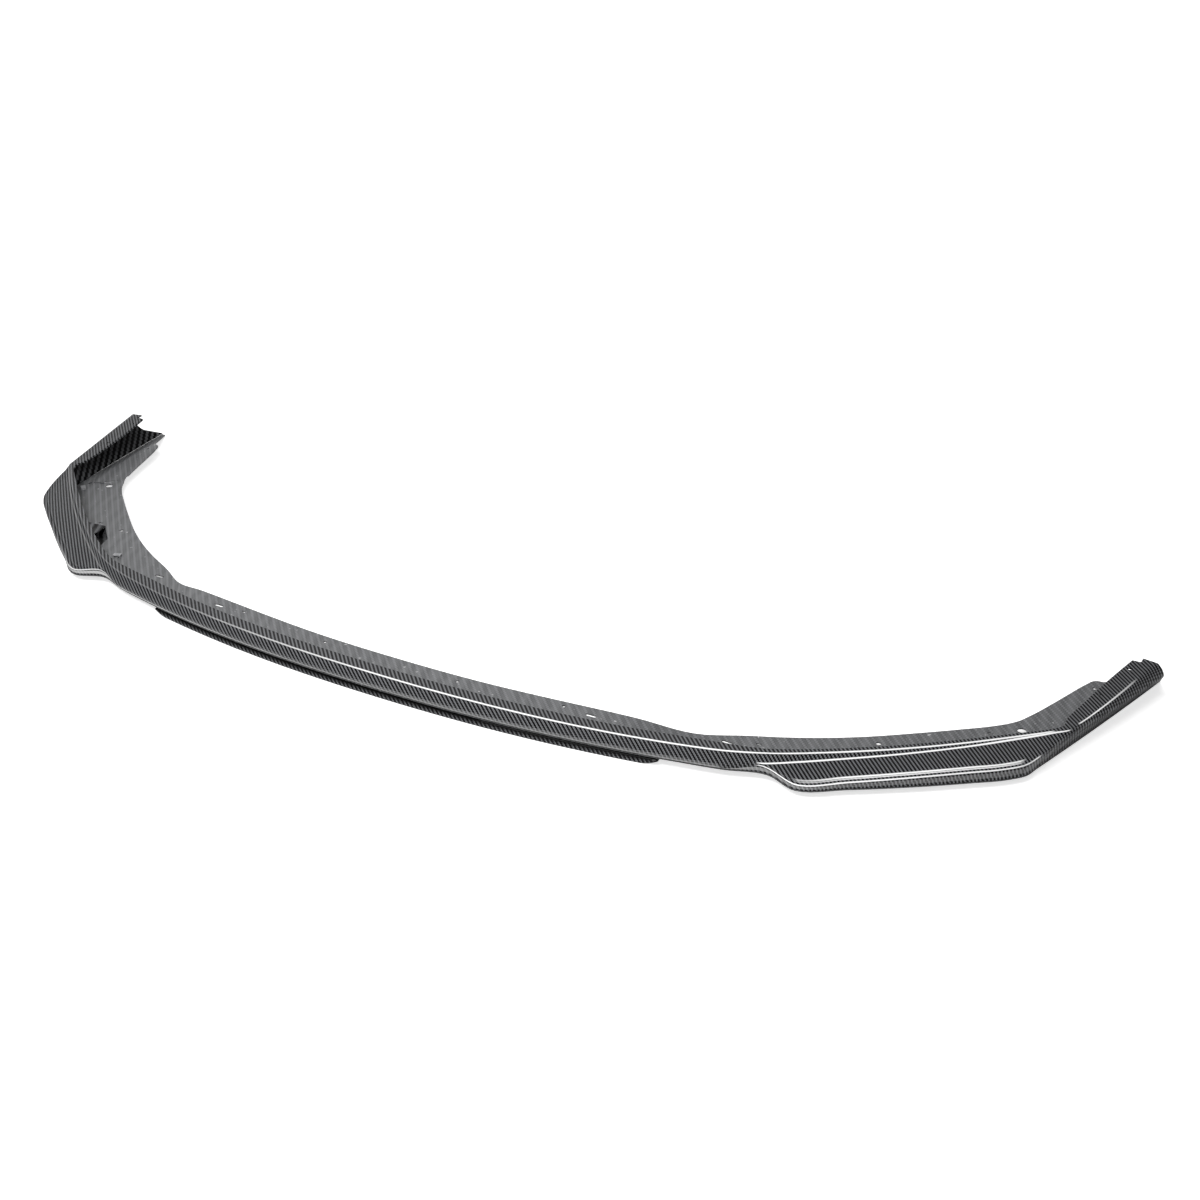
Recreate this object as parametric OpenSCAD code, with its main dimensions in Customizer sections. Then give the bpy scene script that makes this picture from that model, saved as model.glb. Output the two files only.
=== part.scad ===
// Front splitter lip: a laminated outer skin, the tray bonded under it and the lip under the nose.
// X runs across the car, -Y is the front, Z is up and Z = 0 is the floor that the part lies on.

/* [Overall] */
// Width across the feet of the two rear tips
lip_w = 1792; // [1600:4:2000]
// Depth from the nose to the rear tips
lip_d = 586; // [540:2:660]

/* [Plan of the crease] */
// Half width at which the nose turns into the blade run
corner_x = 530; // [480:5:580]
// How far that front corner lies behind the nose
corner_back = 63; // [45:1:90]
// Forward bow of the crease along the blade run
run_bow = 12; // [0:1:20]
// Inset of the shoulder from the rear tip
shoulder_in = 44; // [35:1:70]
// Length of the wing, from the shoulder back to the rear tip
wing_l = 266; // [240:1:320]
// How far the top of the wing's slanted end lies ahead of its foot
end_slant = 60; // [30:1:90]
// How far that top is inset from the rear tip
top_in = 7; // [0:1:16]
// Outward bow of the wing
wing_bow = 12; // [0:1:20]
// Outward bow of the wing's foot
foot_bow = 8; // [0:1:14]

/* [Heights] */
// Height of the crease along the nose
nose_h = 36.5; // [32:0.5:42]
// Height of the crease at the front corner
corner_h = 41; // [36:0.5:48]
// Height of the crease at the shoulder
shoulder_h = 46.5; // [42:0.5:54]
// Height of the crease at the wing's end
wing_h = 60; // [54:0.5:70]
// Height of the skin's lower edge along the nose
hem_h = 14.5; // [13:0.5:17]

/* [Skin] */
// Thickness of the outer skin
skin_t = 2; // [1.5:0.1:2.5]
// Width of the top strip behind the crease, along the nose
strip_w = 21; // [16:1:28]
// Width of the top strip along the blade run
run_strip_w = 9; // [7:1:14]
// Width of the flange along the top of the wing
flange_w = 24; // [18:1:30]
// Depth of the edge turned down along the strip and the flange
turned_edge = 3; // [2.5:0.5:5]
// How far the nose's face bulges ahead of the crease
bulge = 6.5; // [4:0.5:9]
// How far the wing's crease swings out at its end
wing_flare = 9; // [4:1:12]
// How far the wing's wall rolls out beyond its crease at the end
wing_roll = 10; // [6:1:16]
// How deep the wing's end edge is hollowed
end_hollow = 13; // [0:1:20]
// Depth of the notch in the end of the flange
notch_d = 9; // [5:1:14]

/* [Blade] */
// Width of the blade from the crease to its outer edge, at its front
blade_w = 41; // [34:1:48]
// How much wider the blade is at its rear
blade_spread = 7; // [0:0.5:10]
// Height of the blade's outer edge at its front
blade_front_h = 20; // [18:0.5:24]
// Height of the blade's outer edge at its rear
blade_rear_h = 30; // [26:0.5:34]
// Height of the blade's lower edge
blade_foot_h = 12.8; // [11:0.2:15]
// Width of the ledge along the blade's outer edge
ledge_w = 6; // [5:0.5:8]
// Drop of the step down to that ledge
ledge_drop = 2; // [1:0.5:3]

/* [Tray] */
// Thickness of the tray
tray_t = 2; // [1.5:0.1:2.5]
// Height of the tray's top behind the corners
tray_h = 15.5; // [14:0.5:17]
// Rise of the tray towards the wing's end
tray_rise = 6.5; // [0:0.5:10]
// Depth of the tray behind the crease at the nose
nose_tray_d = 55; // [48:1:64]
// Depth of the tray behind the crease along the blade run and the wing
side_tray_d = 82; // [76:1:90]
// Gap filled by adhesive between bonded pieces
glue = 0.3; // [0.2:0.1:0.5]

/* [Lip under the nose] */
// Half length of the lip
underlip_x = 415; // [380:5:450]
// Length over which each of its ends runs out
runout = 24; // [16:1:40]
// Depth of its bottom flange
underlip_flange = 30; // [20:1:50]
// Thickness of its wall
underlip_t = 2; // [1.5:0.1:2.5]

/* [Fixings] */
// Diameter of the screw holes in the tray
screw_d = 7; // [5:0.5:9]
// Diameter of the two locating holes beside the shoulders
locate_d = 12; // [9:0.5:15]
// Diameter of the holes in the flange and at the tray's ends
rivet_d = 5; // [4:0.5:7]
// Length of the long holes in the tray
slot_l = 16; // [12:1:22]
// Width of the long holes
slot_w = 5; // [4:0.5:7]
// Length of the short slots for clips
clip_l = 9; // [7:0.5:12]
// Width of the clip slots
clip_w = 3.5; // [3:0.5:5]
// Depth of the pocket beside each blade
pocket_depth = 9; // [6:0.5:10]
// Length of the clip seats on the tray
seat_l = 12; // [10:1:18]
// Width of the clip seats
seat_w = 8; // [6:0.5:12]
// Height of the clip seats above the tray
seat_h = 3.5; // [2.5:0.5:6]
// Thickness of the flap beside each blade and of the clip seats
flap_t = 1.5; // [1:0.1:2.5]

/* [Hidden] */

$fn = 32;

// Length trimmed off the rear tips
trim = 1;
// Length of the cutters, well past the sheets
cutter = 30;

// Corners of the plan
nose_y = bulge - lip_d / 2;
corner = [corner_x, nose_y + corner_back];
shoulder = [lip_w / 2 - shoulder_in, lip_d / 2 - wing_l];
tip = [lip_w / 2, lip_d / 2 + trim];
wing_top = [lip_w / 2 - top_in, lip_d / 2 - end_slant];
run_along = unit(shoulder - corner);
run_out = [run_along.y, -run_along.x];
foot_shoulder = shoulder + [-30, -90];

// Heights that follow from the others
plate_h = nose_h - turned_edge - glue;
edge_h = hem_h - glue;
underlip_h = edge_h - tray_t - 2 * glue;

// Sections of the loft: along the nose, the blade run, and the wing
nose_s = [0, 0.25, 0.5, 0.7, 0.84, 0.94];
nose_z = [nose_h, nose_h, nose_h, nose_h + 0.5, mix(nose_h, corner_h, 0.4), mix(nose_h, corner_h, 0.8)];
run_z = [corner_h, corner_h, corner_h, corner_h + 0.5, mix(corner_h, shoulder_h, 0.4),
    mix(corner_h, shoulder_h, 0.75), mix(corner_h, shoulder_h, 0.9), shoulder_h];
plate_fall = [0, 0, 0, 0.07, 0.8, 1];
steps = [3, 3, 3, 3, 3, 3, 4, 3, 3, 3, 3, 2, 2, 2, 2, 3, 2, 2, 3];
underlip_steps = [4, 4, 4, 4, 2, 2, 2];

function unit(v) = v / norm(v);
function lift(p, z) = [p.x, p.y, z];
function mix(a, b, f) = a + (b - a) * f;

// A point of the nose: s runs from 0 at the centre to 1 at the corner, u is how far it lies in front
function nose(s, u, z) =
    let (slope = 2.2 * corner_back * pow(s, 1.2) / corner_x,
         out = unit([slope, -1]))
    lift([corner_x * s, nose_y + corner_back * pow(s, 2.2)] + u * out, z);

// A point of the blade run: f runs from the corner to the shoulder
function run(f, u, z) =
    lift(corner + f * (shoulder - corner) + (u + 4 * run_bow * f * (1 - f)) * run_out, z);

// A point of the wing's top, g from the shoulder to its end, and of its foot
function wing(g, u, z) =
    let (out = unit([wing_top.y - shoulder.y, shoulder.x - wing_top.x]))
    lift(shoulder + g * (wing_top - shoulder) + (u + wing_bow * g * (1 - g)) * out, z);
function foot(g, u, z) =
    let (out = unit([tip.y - foot_shoulder.y, foot_shoulder.x - tip.x]))
    lift(foot_shoulder + g * (tip - foot_shoulder) + (u + foot_bow * g * (1 - g)) * out, z);
function wing_z(g) = mix(shoulder_h, wing_h, pow(g, 1.5));
function face_z(share) = mix(hem_h, nose_h, share);
function foot_z(g) = mix(blade_foot_h, tray_t + 2 * glue, g);

// Rows of section keys, each as [place, distance in front, height]
function nose_row(u, z) = [for (i = [0 : 5]) nose(nose_s[i], is_list(u) ? u[i] : u, is_list(z) ? z[i] : z)];
function run_row(keys) = [for (k = keys) run(k[0], k[1], k[2])];
function wing_row(keys) = [for (k = keys) wing(k[0], k[1], k[2])];
function foot_row(u, z) = [for (g = [0, 0.09, 0.2, 0.31, 0.43, 0.56, 0.76, 1]) foot(g, u, foot_z(g) + z)];
function plate_z(i) = mix(plate_h, tray_h, plate_fall[i]);
function plate_row(u, z) = [for (i = [0 : 5]) nose(nose_s[i], is_list(u) ? u[i] : u, plate_z(i) + z)];
function rolled(g, share, u, drop, more) =
    wing(g, u + wing_flare * g + share * wing_roll * pow(g, 1.5), wing_z(g) - drop - more * g);

// Sections along the blade: place, share of its spread and share of its rise, then round its rear corner
blade_keys = [[0.125, 0, 0], [0.27, 0.15, 0.28], [0.45, 0.5, 0.65], [0.65, 0.93, 0.98], [0.74, 1, 1]];
function blade_row(in, up) = [for (k = blade_keys)
    run(k[0], blade_w + blade_spread * k[1] - in, mix(blade_front_h, blade_rear_h, k[2]) + up)];
function corner_row(keys) = [for (k = keys)
    run(k[0], (blade_w + blade_spread) * k[1] - k[2], mix(blade_rear_h, shoulder_h, k[3]))];

// The skin's rails, from the turned-down edge over the crease down to the lower edge
crease = concat(
    nose_row(0, nose_z),
    run_row([[0.06, -1, run_z[0]], [0.14, 0, run_z[1]], [0.25, 0, run_z[2]], [0.45, 0, run_z[3]],
        [0.65, 0, run_z[4]], [0.8, 0, run_z[5]], [0.88, 0, run_z[6]], [0.95, 0, run_z[7]]]),
    wing_row([for (g = [0, 0.1, 0.32, 0.52, 0.77, 1]) [g, wing_flare * g - (g > 0 ? 0 : 1), wing_z(g)]]));

// The strip's inner edge, or with drop the foot of its turned-down edge and of the blade's web
function inner_edge(in, drop) = concat(
    nose_row([for (i = [0 : 5]) -strip_w - in + (i == 5 ? 3 : 0)], drop ?
        [for (i = [0 : 5]) plate_z(i) + glue] : nose_z),
    run_row([for (k = [[0.03, -5, 0, 0], [0.12, -1, 1, 0], [0.24, 0, 2, 0], [0.45, 0, 3, 0],
        [0.65, 0, 4, 0.4], [0.8, 1, 5, 2.7], [0.88, 2, 6, 11], [0.95, 2, 7, 22]])
        [k[0], k[1] - run_strip_w - in, drop ? tray_h + glue + k[3] : run_z[k[2]]]]),
    wing_row([for (k = [[0, 12], [0.1, 6], [0.32, 2.5], [0.52, 1.2], [0.77, 3], [1, 7.5]])
        [k[0], k[1] - flange_w - in, wing_z(k[0]) - (drop ? turned_edge : 0)]]));
strip_edge = inner_edge(0, false);
web_foot = inner_edge(0.3, true);
function root_z(share) = mix(face_z(0.66), shoulder_h, share);
root = concat(
    nose_row(5, face_z(0.66)),
    run_row([[0.03, 5.5, root_z(0.06)], [0.14, 5, root_z(0.11)], [0.25, 5, root_z(0.23)],
        [0.45, 4.5, root_z(0.4)], [0.65, 4, root_z(0.6)], [0.8, 3, root_z(0.77)], [0.88, 2, root_z(0.86)],
        [0.95, 1.3, root_z(0.94)]]),
    [for (g = [0.01, 0.1, 0.32, 0.52, 0.77, 1.01]) rolled(g, 0.3, 0.8, 1, 0.3)]);
step_top = concat(
    nose_row(bulge, face_z(0.48)),
    run_row([[0.03, 6.2, root_z(0.02)]]), blade_row(ledge_w + 1.3, 0.9 + ledge_drop),
    corner_row([[0.825, 0.925, ledge_w + 2.3, 0.2], [0.89, 0.495, 0, 0.43], [0.966, 0.135, 0, 0.75]]),
    [for (g = [0.095, 0.32, 0.53, 0.775, 1.015]) rolled(g, 0.53, 1.2, 2, 2.5)]);
step_foot = concat(
    nose_row(bulge, face_z(0.3)),
    run_row([[0.03, 6.6, root_z(-0.01)]]), blade_row(ledge_w, 0.9),
    corner_row([[0.82, 0.925, ledge_w, 0.12], [0.885, 0.57, 0, 0.36], [0.963, 0.19, 0, 0.67]]),
    [for (g = [0.092, 0.32, 0.535, 0.78, 1.03]) rolled(g, 0.8, 1.5, 3, 7.5)]);
outer = concat(
    nose_row(5, face_z(0.14)),
    run_row([[0.026, 7, root_z(-0.04)]]), blade_row(0, 0),
    corner_row([[0.81, 0.925, 0, 0], [0.88, 0.655, 0, 0.28], [0.96, 0.237, 0, 0.61]]),
    [for (g = [0.09, 0.32, 0.54, 0.785, 1.045]) rolled(g, 1, 1.7, 4.5, 15.5)]);

// The lower edge of the skin, or the tray's edge under it: in is its inset and drop how much lower
function lower_edge(in, drop) = concat(
    nose_row(1.5 - in, hem_h - drop),
    run_row([[0.05, 4 - in, hem_h - drop - 0.5], [0.115, blade_w - 2 - in, blade_foot_h - drop],
        [0.27, blade_w - in, blade_foot_h - drop], [0.45, blade_w + 1 - in, blade_foot_h - drop],
        [0.65, blade_w + 2 - in, blade_foot_h - drop], [0.79, blade_w + 3 - in, blade_foot_h - drop]]),
    foot_row(-in, -drop));
hem = lower_edge(0, 0);
belly = [for (i = [0 : 19]) mix(outer[i], hem[i], 0.5) - [0, i == 19 ? end_hollow : 0, 0]];

// The tray's rails, from its rear edge under the strip to the edge under the skin
function tray_z(share) = tray_h + tray_rise * share;
tray_rear = concat(
    plate_row([for (k = [0, 0, 1, -1, 9, 27]) -nose_tray_d - k], 0),
    run_row([for (k = [[0.153, 0], [0.276, 4], [0.391, 5.5], [0.562, 4.5], [0.71, 4], [0.82, 3.7],
        [0.87, 1.8], [0.91, -2]]) [k[0], k[1] - side_tray_d, tray_h]]),
    wing_row([for (k = [[0.2, 1, 0.25], [0.3, 4.5, 0.35], [0.428, 8, 0.48], [0.573, 12, 0.62],
        [0.731, 17, 0.8], [0.81, 21, 0.95]]) [k[0], k[1] - side_tray_d, tray_z(k[2])]]));
tray_strip = concat(
    plate_row([for (k = [0, 0, 0, 0, 0, -1]) -strip_w - 4 - k], 0),
    run_row([for (k = [[0.05, 7], [0.13, 5], [0.25, 4], [0.45, 4], [0.65, 4], [0.8, 8], [0.88, 20],
        [0.94, 32]]) [k[0], -run_strip_w - k[1], tray_h]]),
    wing_row([for (k = [[0.03, 50, 0.1], [0.13, 58, 0.2], [0.29, 60, 0.35], [0.47, 59, 0.52],
        [0.68, 58, 0.78], [0.845, 58, 0.98]]) [k[0], -k[1], tray_z(k[2])]]));
tray_top = concat(
    plate_row(-10, 0),
    run_row([for (k = [[0.055, 9], [0.13, 9], [0.25, 9], [0.45, 9], [0.65, 9], [0.8, 14], [0.88, 24],
        [0.945, 36]]) [k[0], -k[1], tray_h]]),
    wing_row([for (k = [[0.02, 44, 0.1], [0.11, 49, 0.18], [0.3, 50, 0.35], [0.485, 50, 0.53],
        [0.7, 51, 0.8], [0.86, 53, 1]]) [k[0], -k[1], tray_z(k[2])]]));
tray_bend = concat(
    nose_row(-9, edge_h),
    run_row([for (k = [[0.055, 6], [0.13, 6], [0.25, 6], [0.45, 6], [0.65, 6], [0.8, 10], [0.88, 18],
        [0.95, 29]]) [k[0], -k[1], tray_h]]),
    wing_row([for (k = [[0.01, 36, 0.1], [0.09, 38, 0.17], [0.31, 38, 0.36], [0.5, 39, 0.55],
        [0.72, 41, 0.82], [0.865, 47, 1]]) [k[0], -k[1], tray_z(k[2])]]));
tray_flat = lower_edge(6, 2 * glue);
tray_slope = [for (i = [0 : 19]) mix(tray_bend[i], tray_flat[i], 0.5)];
tray_edge = lower_edge(0, glue);

// Sections of the lip under the nose: k is how much of its height is left where an end runs out
function underlip_rail(u, z) =
    [for (k = [[0, 1], [underlip_x * 0.26, 1], [underlip_x * 0.52, 1], [underlip_x * 0.78, 1],
        [underlip_x - runout, 1], [underlip_x - runout * 0.55, 0.88], [underlip_x - runout * 0.28, 0.62],
        [underlip_x, 0.41]]) nose(k[0] / corner_x, u, underlip_h - (underlip_h - z) * k[1])];

function mirrored(p) = [-p.x, p.y, p.z];
function tangent(a, b, c) =
    let (before = norm(b - a), after = norm(c - b),
         way = ((b - a) / before * after + (c - b) / after * before) / (before + after))
    (b.z - a.z) * (c.z - b.z) > 0 ? way : lift(way, 0);
function hermite(a, b, ta, tb, t) =
    let (d = norm(b - a))
    a * (2 * pow(t, 3) - 3 * t * t + 1) + b * (3 * t * t - 2 * pow(t, 3))
    + d * ta * (pow(t, 3) - 2 * t * t + t) + d * tb * (pow(t, 3) - t * t);
function half_rail(keys, steps) =
    let (n = len(keys) - 1,
         padded = concat([mirrored(keys[1])], keys, [2 * keys[n] - keys[n - 1]]),
         tangents = [for (i = [1 : n + 1]) tangent(padded[i - 1], padded[i], padded[i + 1])])
    concat([for (i = [0 : n - 1]) for (k = [0 : steps[i] - 1])
        hermite(keys[i], keys[i + 1], tangents[i], tangents[i + 1], k / steps[i])], [keys[n]]);
function rail(keys, steps) =
    let (half = half_rail(keys, steps), n = len(half) - 1)
    concat([for (i = [n : -1 : 1]) mirrored(half[i])], half);
function across(rails) = [for (i = [0 : len(rails[0]) - 1]) [for (r = rails) r[i]]];
function inset(grid, t) =
    let (n = len(grid) - 1, m = len(grid[0]) - 1)
    [for (i = [0 : n]) [for (j = [0 : m])
        let (along = grid[min(i + 1, n)][j] - grid[max(i - 1, 0)][j],
             a = unit(cross(along, grid[i][max(j, 1)] - grid[i][max(j, 1) - 1])),
             b = unit(cross(along, grid[i][min(j, m - 1) + 1] - grid[i][min(j, m - 1)])))
        grid[i][j] + t * (a + b) / max(1 + a * b, 0.6)]];

// A moulded sheet of thickness t, lofted through the rails and their mirror images
module sheet(rails, t, steps) {
    grid = across([for (r = rails) rail(r, steps)]);
    n = len(grid);
    m = len(grid[0]);
    points = [for (row = concat(grid, inset(grid, t))) for (p = row) p];
    function at(i, j, side) = (side * n + i) * m + j;
    function quad(a, b, c, d) = [[a, b, c], [a, c, d]];
    polyhedron(points, [for (q = concat(
        [for (i = [0 : n - 2]) for (j = [0 : m - 2])
            quad(at(i, j, 0), at(i + 1, j, 0), at(i + 1, j + 1, 0), at(i, j + 1, 0))],
        [for (i = [0 : n - 2]) for (j = [0 : m - 2])
            quad(at(i, j + 1, 1), at(i + 1, j + 1, 1), at(i + 1, j, 1), at(i, j, 1))],
        [for (i = [0 : n - 2]) quad(at(i + 1, 0, 0), at(i, 0, 0), at(i, 0, 1), at(i + 1, 0, 1))],
        [for (i = [0 : n - 2])
            quad(at(i, m - 1, 0), at(i + 1, m - 1, 0), at(i + 1, m - 1, 1), at(i, m - 1, 1))],
        [for (j = [0 : m - 2]) quad(at(0, j, 0), at(0, j + 1, 0), at(0, j + 1, 1), at(0, j, 1))],
        [for (j = [0 : m - 2])
            quad(at(n - 1, j + 1, 0), at(n - 1, j, 0), at(n - 1, j, 1), at(n - 1, j + 1, 1))]
        )) each q]);
}

module both_sides() {
    children();
    mirror([1, 0, 0]) children();
}

module rear_trim() translate([-lip_w, lip_d / 2, -trim]) cube([2 * lip_w, cutter, 2 * wing_h]);

// A round hole, or a long one of length l across the car, up through the place p
module hole(p, d, l = 0) translate(p) {
    depth = 12;
    for (x = l > d ? [-1, 1] : [0])
        translate([x * (l - d) / 2, 0, -depth / 2]) cylinder(h = depth, d = d);
    if (l > d) translate([-(l - d) / 2, -d / 2, -depth / 2]) cube([l - d, d, depth]);
}

// Places of the fixings
locate_at = run(0.898, -60, tray_h);
screw_at = run(0.43, -58, tray_h);
plate_end_at = wing(0.76, -49, tray_z(0.85));
flange_end_at = wing(0.84, -11.5, wing_z(0.84));
flange_mid_at = wing(0.463, -15.5, wing_z(0.463));
nose_hole_at = [nose(0.21, -41, plate_h), nose(0.51, -44, plate_h)];
nose_slot_at = nose(0.59, -35, plate_h);
corner_slot_at = nose(0.922, -60.5, tray_h);
side_slot_at = run(0.531, -32, tray_h);
clip_slot_at = [run(0.062, -66, tray_h), run(0.795, -61.4, tray_h)];
seat_at = [run(0.195, -32.5, tray_h), run(0.905, -18, tray_h)];
seat_turn = [-22, 38];

// The flap from the strip's edge down to the tray, and the pocket sunk into the tray under it
flap = [run(0.3, -run_strip_w, corner_h - flap_t - 0.5), run(0.41, -run_strip_w, corner_h - flap_t - 0.5),
    run(0.485, -36, tray_h + glue)];
pocket = [for (k = [[0.31, -15], [0.37, -32], [0.477, -36], [0.455, -15]]) run(k[0], k[1], 0)];

module outer_skin()
    color([0.16, 0.16, 0.17])
        difference() {
            union() {
                sheet([web_foot, strip_edge, crease, root, step_top, step_foot, outer, belly, hem],
                    skin_t, steps);
                both_sides() hull() for (p = flap) translate(p) cylinder(h = flap_t, d = 1, $fn = 8);
            }
            both_sides() {
                hole(flange_end_at, rivet_d);
                hole(flange_mid_at, rivet_d);
                translate([wing_top.x - flange_w - 10, wing_top.y - notch_d, wing_h - cutter / 2])
                    cube([flange_w + 3, cutter, cutter]);
            }
            rear_trim();
        }

// A raised seat for a clip, open at its front and back
module clip_seat(p, turn) translate(p) rotate(turn) difference() {
    translate([-seat_l / 2, -seat_w / 2, -flap_t]) cube([seat_l, seat_w, seat_h + flap_t]);
    translate([flap_t - seat_l / 2, -seat_w, 0]) cube([seat_l - 2 * flap_t, 2 * seat_w, seat_h - flap_t]);
}

module pocket_prism(grow, low, high) translate([0, 0, low]) linear_extrude(high - low)
    offset(delta = grow) polygon([for (p = pocket) [p.x, p.y]]);

module mounting_tray()
    color([0.35, 0.35, 0.36])
        difference() {
            union() {
                sheet([tray_rear, tray_strip, tray_top, tray_bend, tray_slope, tray_flat, tray_edge],
                    tray_t, steps);
                both_sides() {
                    pocket_prism(tray_t, tray_h - pocket_depth - tray_t, tray_h - tray_t / 2);
                    for (i = [0, 1]) clip_seat(seat_at[i], seat_turn[i]);
                }
            }
            both_sides() {
                pocket_prism(0, tray_h - pocket_depth, tray_h + tray_t);
                hole(locate_at, locate_d);
                hole(screw_at, screw_d);
                hole(plate_end_at, rivet_d);
                for (p = nose_hole_at) hole(p, rivet_d);
                hole(nose_slot_at, slot_w, slot_l);
                hole(corner_slot_at, slot_w, slot_l);
                hole(side_slot_at, clip_w, clip_l);
            }
            for (p = clip_slot_at) hole(p, clip_w, clip_l);
            rear_trim();
        }

module nose_underlip()
    color([0.12, 0.12, 0.13])
        sheet([underlip_rail(-12, underlip_h), underlip_rail(-4, underlip_h),
            underlip_rail(-1, underlip_h - 3.4), underlip_rail(1, 4.5), underlip_rail(1, 2),
            underlip_rail(-1, 0), underlip_rail(-underlip_flange, 0)], underlip_t, underlip_steps);

outer_skin();
mounting_tray();
nose_underlip();
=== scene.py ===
"""Front splitter lip: clear-coated carbon skin, satin tray bonded under it and a lip under the nose."""

import logging
import math
from collections.abc import Iterator
from contextlib import contextmanager
from dataclasses import dataclass
from enum import Enum
from functools import partial

import bmesh
import bpy
import numpy as np
from bpy.types import Material, Mesh, Node, NodeSocket, NodeTree, Object
from mathutils import Matrix, Vector


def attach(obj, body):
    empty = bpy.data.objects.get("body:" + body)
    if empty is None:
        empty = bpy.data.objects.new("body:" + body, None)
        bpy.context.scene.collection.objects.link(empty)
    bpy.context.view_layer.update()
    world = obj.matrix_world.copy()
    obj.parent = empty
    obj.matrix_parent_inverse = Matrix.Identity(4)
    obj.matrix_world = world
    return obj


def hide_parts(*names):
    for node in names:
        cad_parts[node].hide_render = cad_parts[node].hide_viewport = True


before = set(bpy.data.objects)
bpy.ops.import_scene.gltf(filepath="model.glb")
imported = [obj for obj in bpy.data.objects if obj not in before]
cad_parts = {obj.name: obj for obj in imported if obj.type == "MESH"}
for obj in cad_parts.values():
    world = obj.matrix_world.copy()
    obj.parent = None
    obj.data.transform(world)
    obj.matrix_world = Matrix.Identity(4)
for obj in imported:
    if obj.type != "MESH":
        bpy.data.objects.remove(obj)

LOG = logging.getLogger("splitter_lip")
MM = 0.001
# Section keys along the nose, the blade run and the wing
ZONE_KEYS = (6, 8, 6)
# Least divisor of a mitre, so that a sharp bend isn't drawn far out
MITRE_LIMIT = 0.6
# Most of a side that a rounding takes
MOST_CUT = 0.44
# Distance from a rounding to the point that holds the flat beside it, in millimetres and as a share of the side
HOLD_MM = 0.5
HOLD_SHARE = 0.05
# Share of a corner's painted light, highlight above 0 and shade below, at each of its seven points
PAINTED_LIGHT_SPREAD = (0.0, 0.7, 1.0, 1.0, 1.0, 0.7, 0.0)
# Points round a hole, and how far its cutter reaches above and below the sheet's top in millimetres
HOLE_POINTS = 32
CUTTER_REACH = 6.0


class Side(Enum):
    """The two sides of the car, as the sign of X."""

    RIGHT = 1
    LEFT = -1


def linear_colour(text: str) -> tuple[float, float, float, float]:
    """Turns an sRGB hex colour into a linear one.

    Args:
        text: The colour, such as "#1a1b1d".

    Returns:
        Its linear red, green, blue and an alpha of one.
    """
    shares = [int(text[i : i + 2], 16) / 255 for i in (1, 3, 5)]
    linear = [s / 12.92 if s <= 0.04045 else ((s + 0.055) / 1.055) ** 2.4 for s in shares]
    return (*linear, 1.0)


def mix(a: float, b: float, share: float) -> float:
    """Returns the value that lies the given share of the way from a to b."""
    return a + (b - a) * share


def unit(v: np.ndarray) -> np.ndarray:
    """Returns the vector v at length one."""
    return v / np.linalg.norm(v)


def mirrored(points: np.ndarray, side: Side) -> np.ndarray:
    """Returns points of the right half, each with its X first, on the given side of the car."""
    return points * np.array([side.value, *[1] * (points.shape[-1] - 1)])


def both_sides(points: np.ndarray) -> list[np.ndarray]:
    """Returns a place or an outline and its twin across the car."""
    return [mirrored(points, side) for side in Side]


def beside(start: np.ndarray, end: np.ndarray, bow: float, share: float, u: float, z: float) -> np.ndarray:
    """Gives a point beside a line that bows out in plan.

    Args:
        start: Start of the line in plan.
        end: Its end.
        bow: Four times the depth of its bow.
        share: Place along the line, 0 at its start and 1 at its end.
        u: Distance out from the line.
        z: Height.

    Returns:
        The point.
    """
    way = end - start
    out = unit(np.array([way[1], -way[0]]))
    return np.array([*(start + share * way + (u + bow * share * (1 - share)) * out), z])


def mitred(points: np.ndarray, before: np.ndarray, after: np.ndarray, by: float,
           least: float = MITRE_LIMIT) -> np.ndarray:
    """Moves corners so that the sides between them move by a distance.

    Args:
        points: The corners.
        before: Unit normal of the side before each corner.
        after: Unit normal of the side after it.
        by: The distance, along the normals.
        least: Least divisor of the mitre.

    Returns:
        The moved corners.
    """
    joint = np.maximum(1 + (before * after).sum(axis=-1, keepdims=True), least)
    return points + by * (before + after) / joint


def normals(ways: np.ndarray) -> np.ndarray:
    """Returns the unit vectors to the right of ways in plan."""
    return np.column_stack([ways[:, 1], -ways[:, 0]]) / np.linalg.norm(ways, axis=1, keepdims=True)


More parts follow.
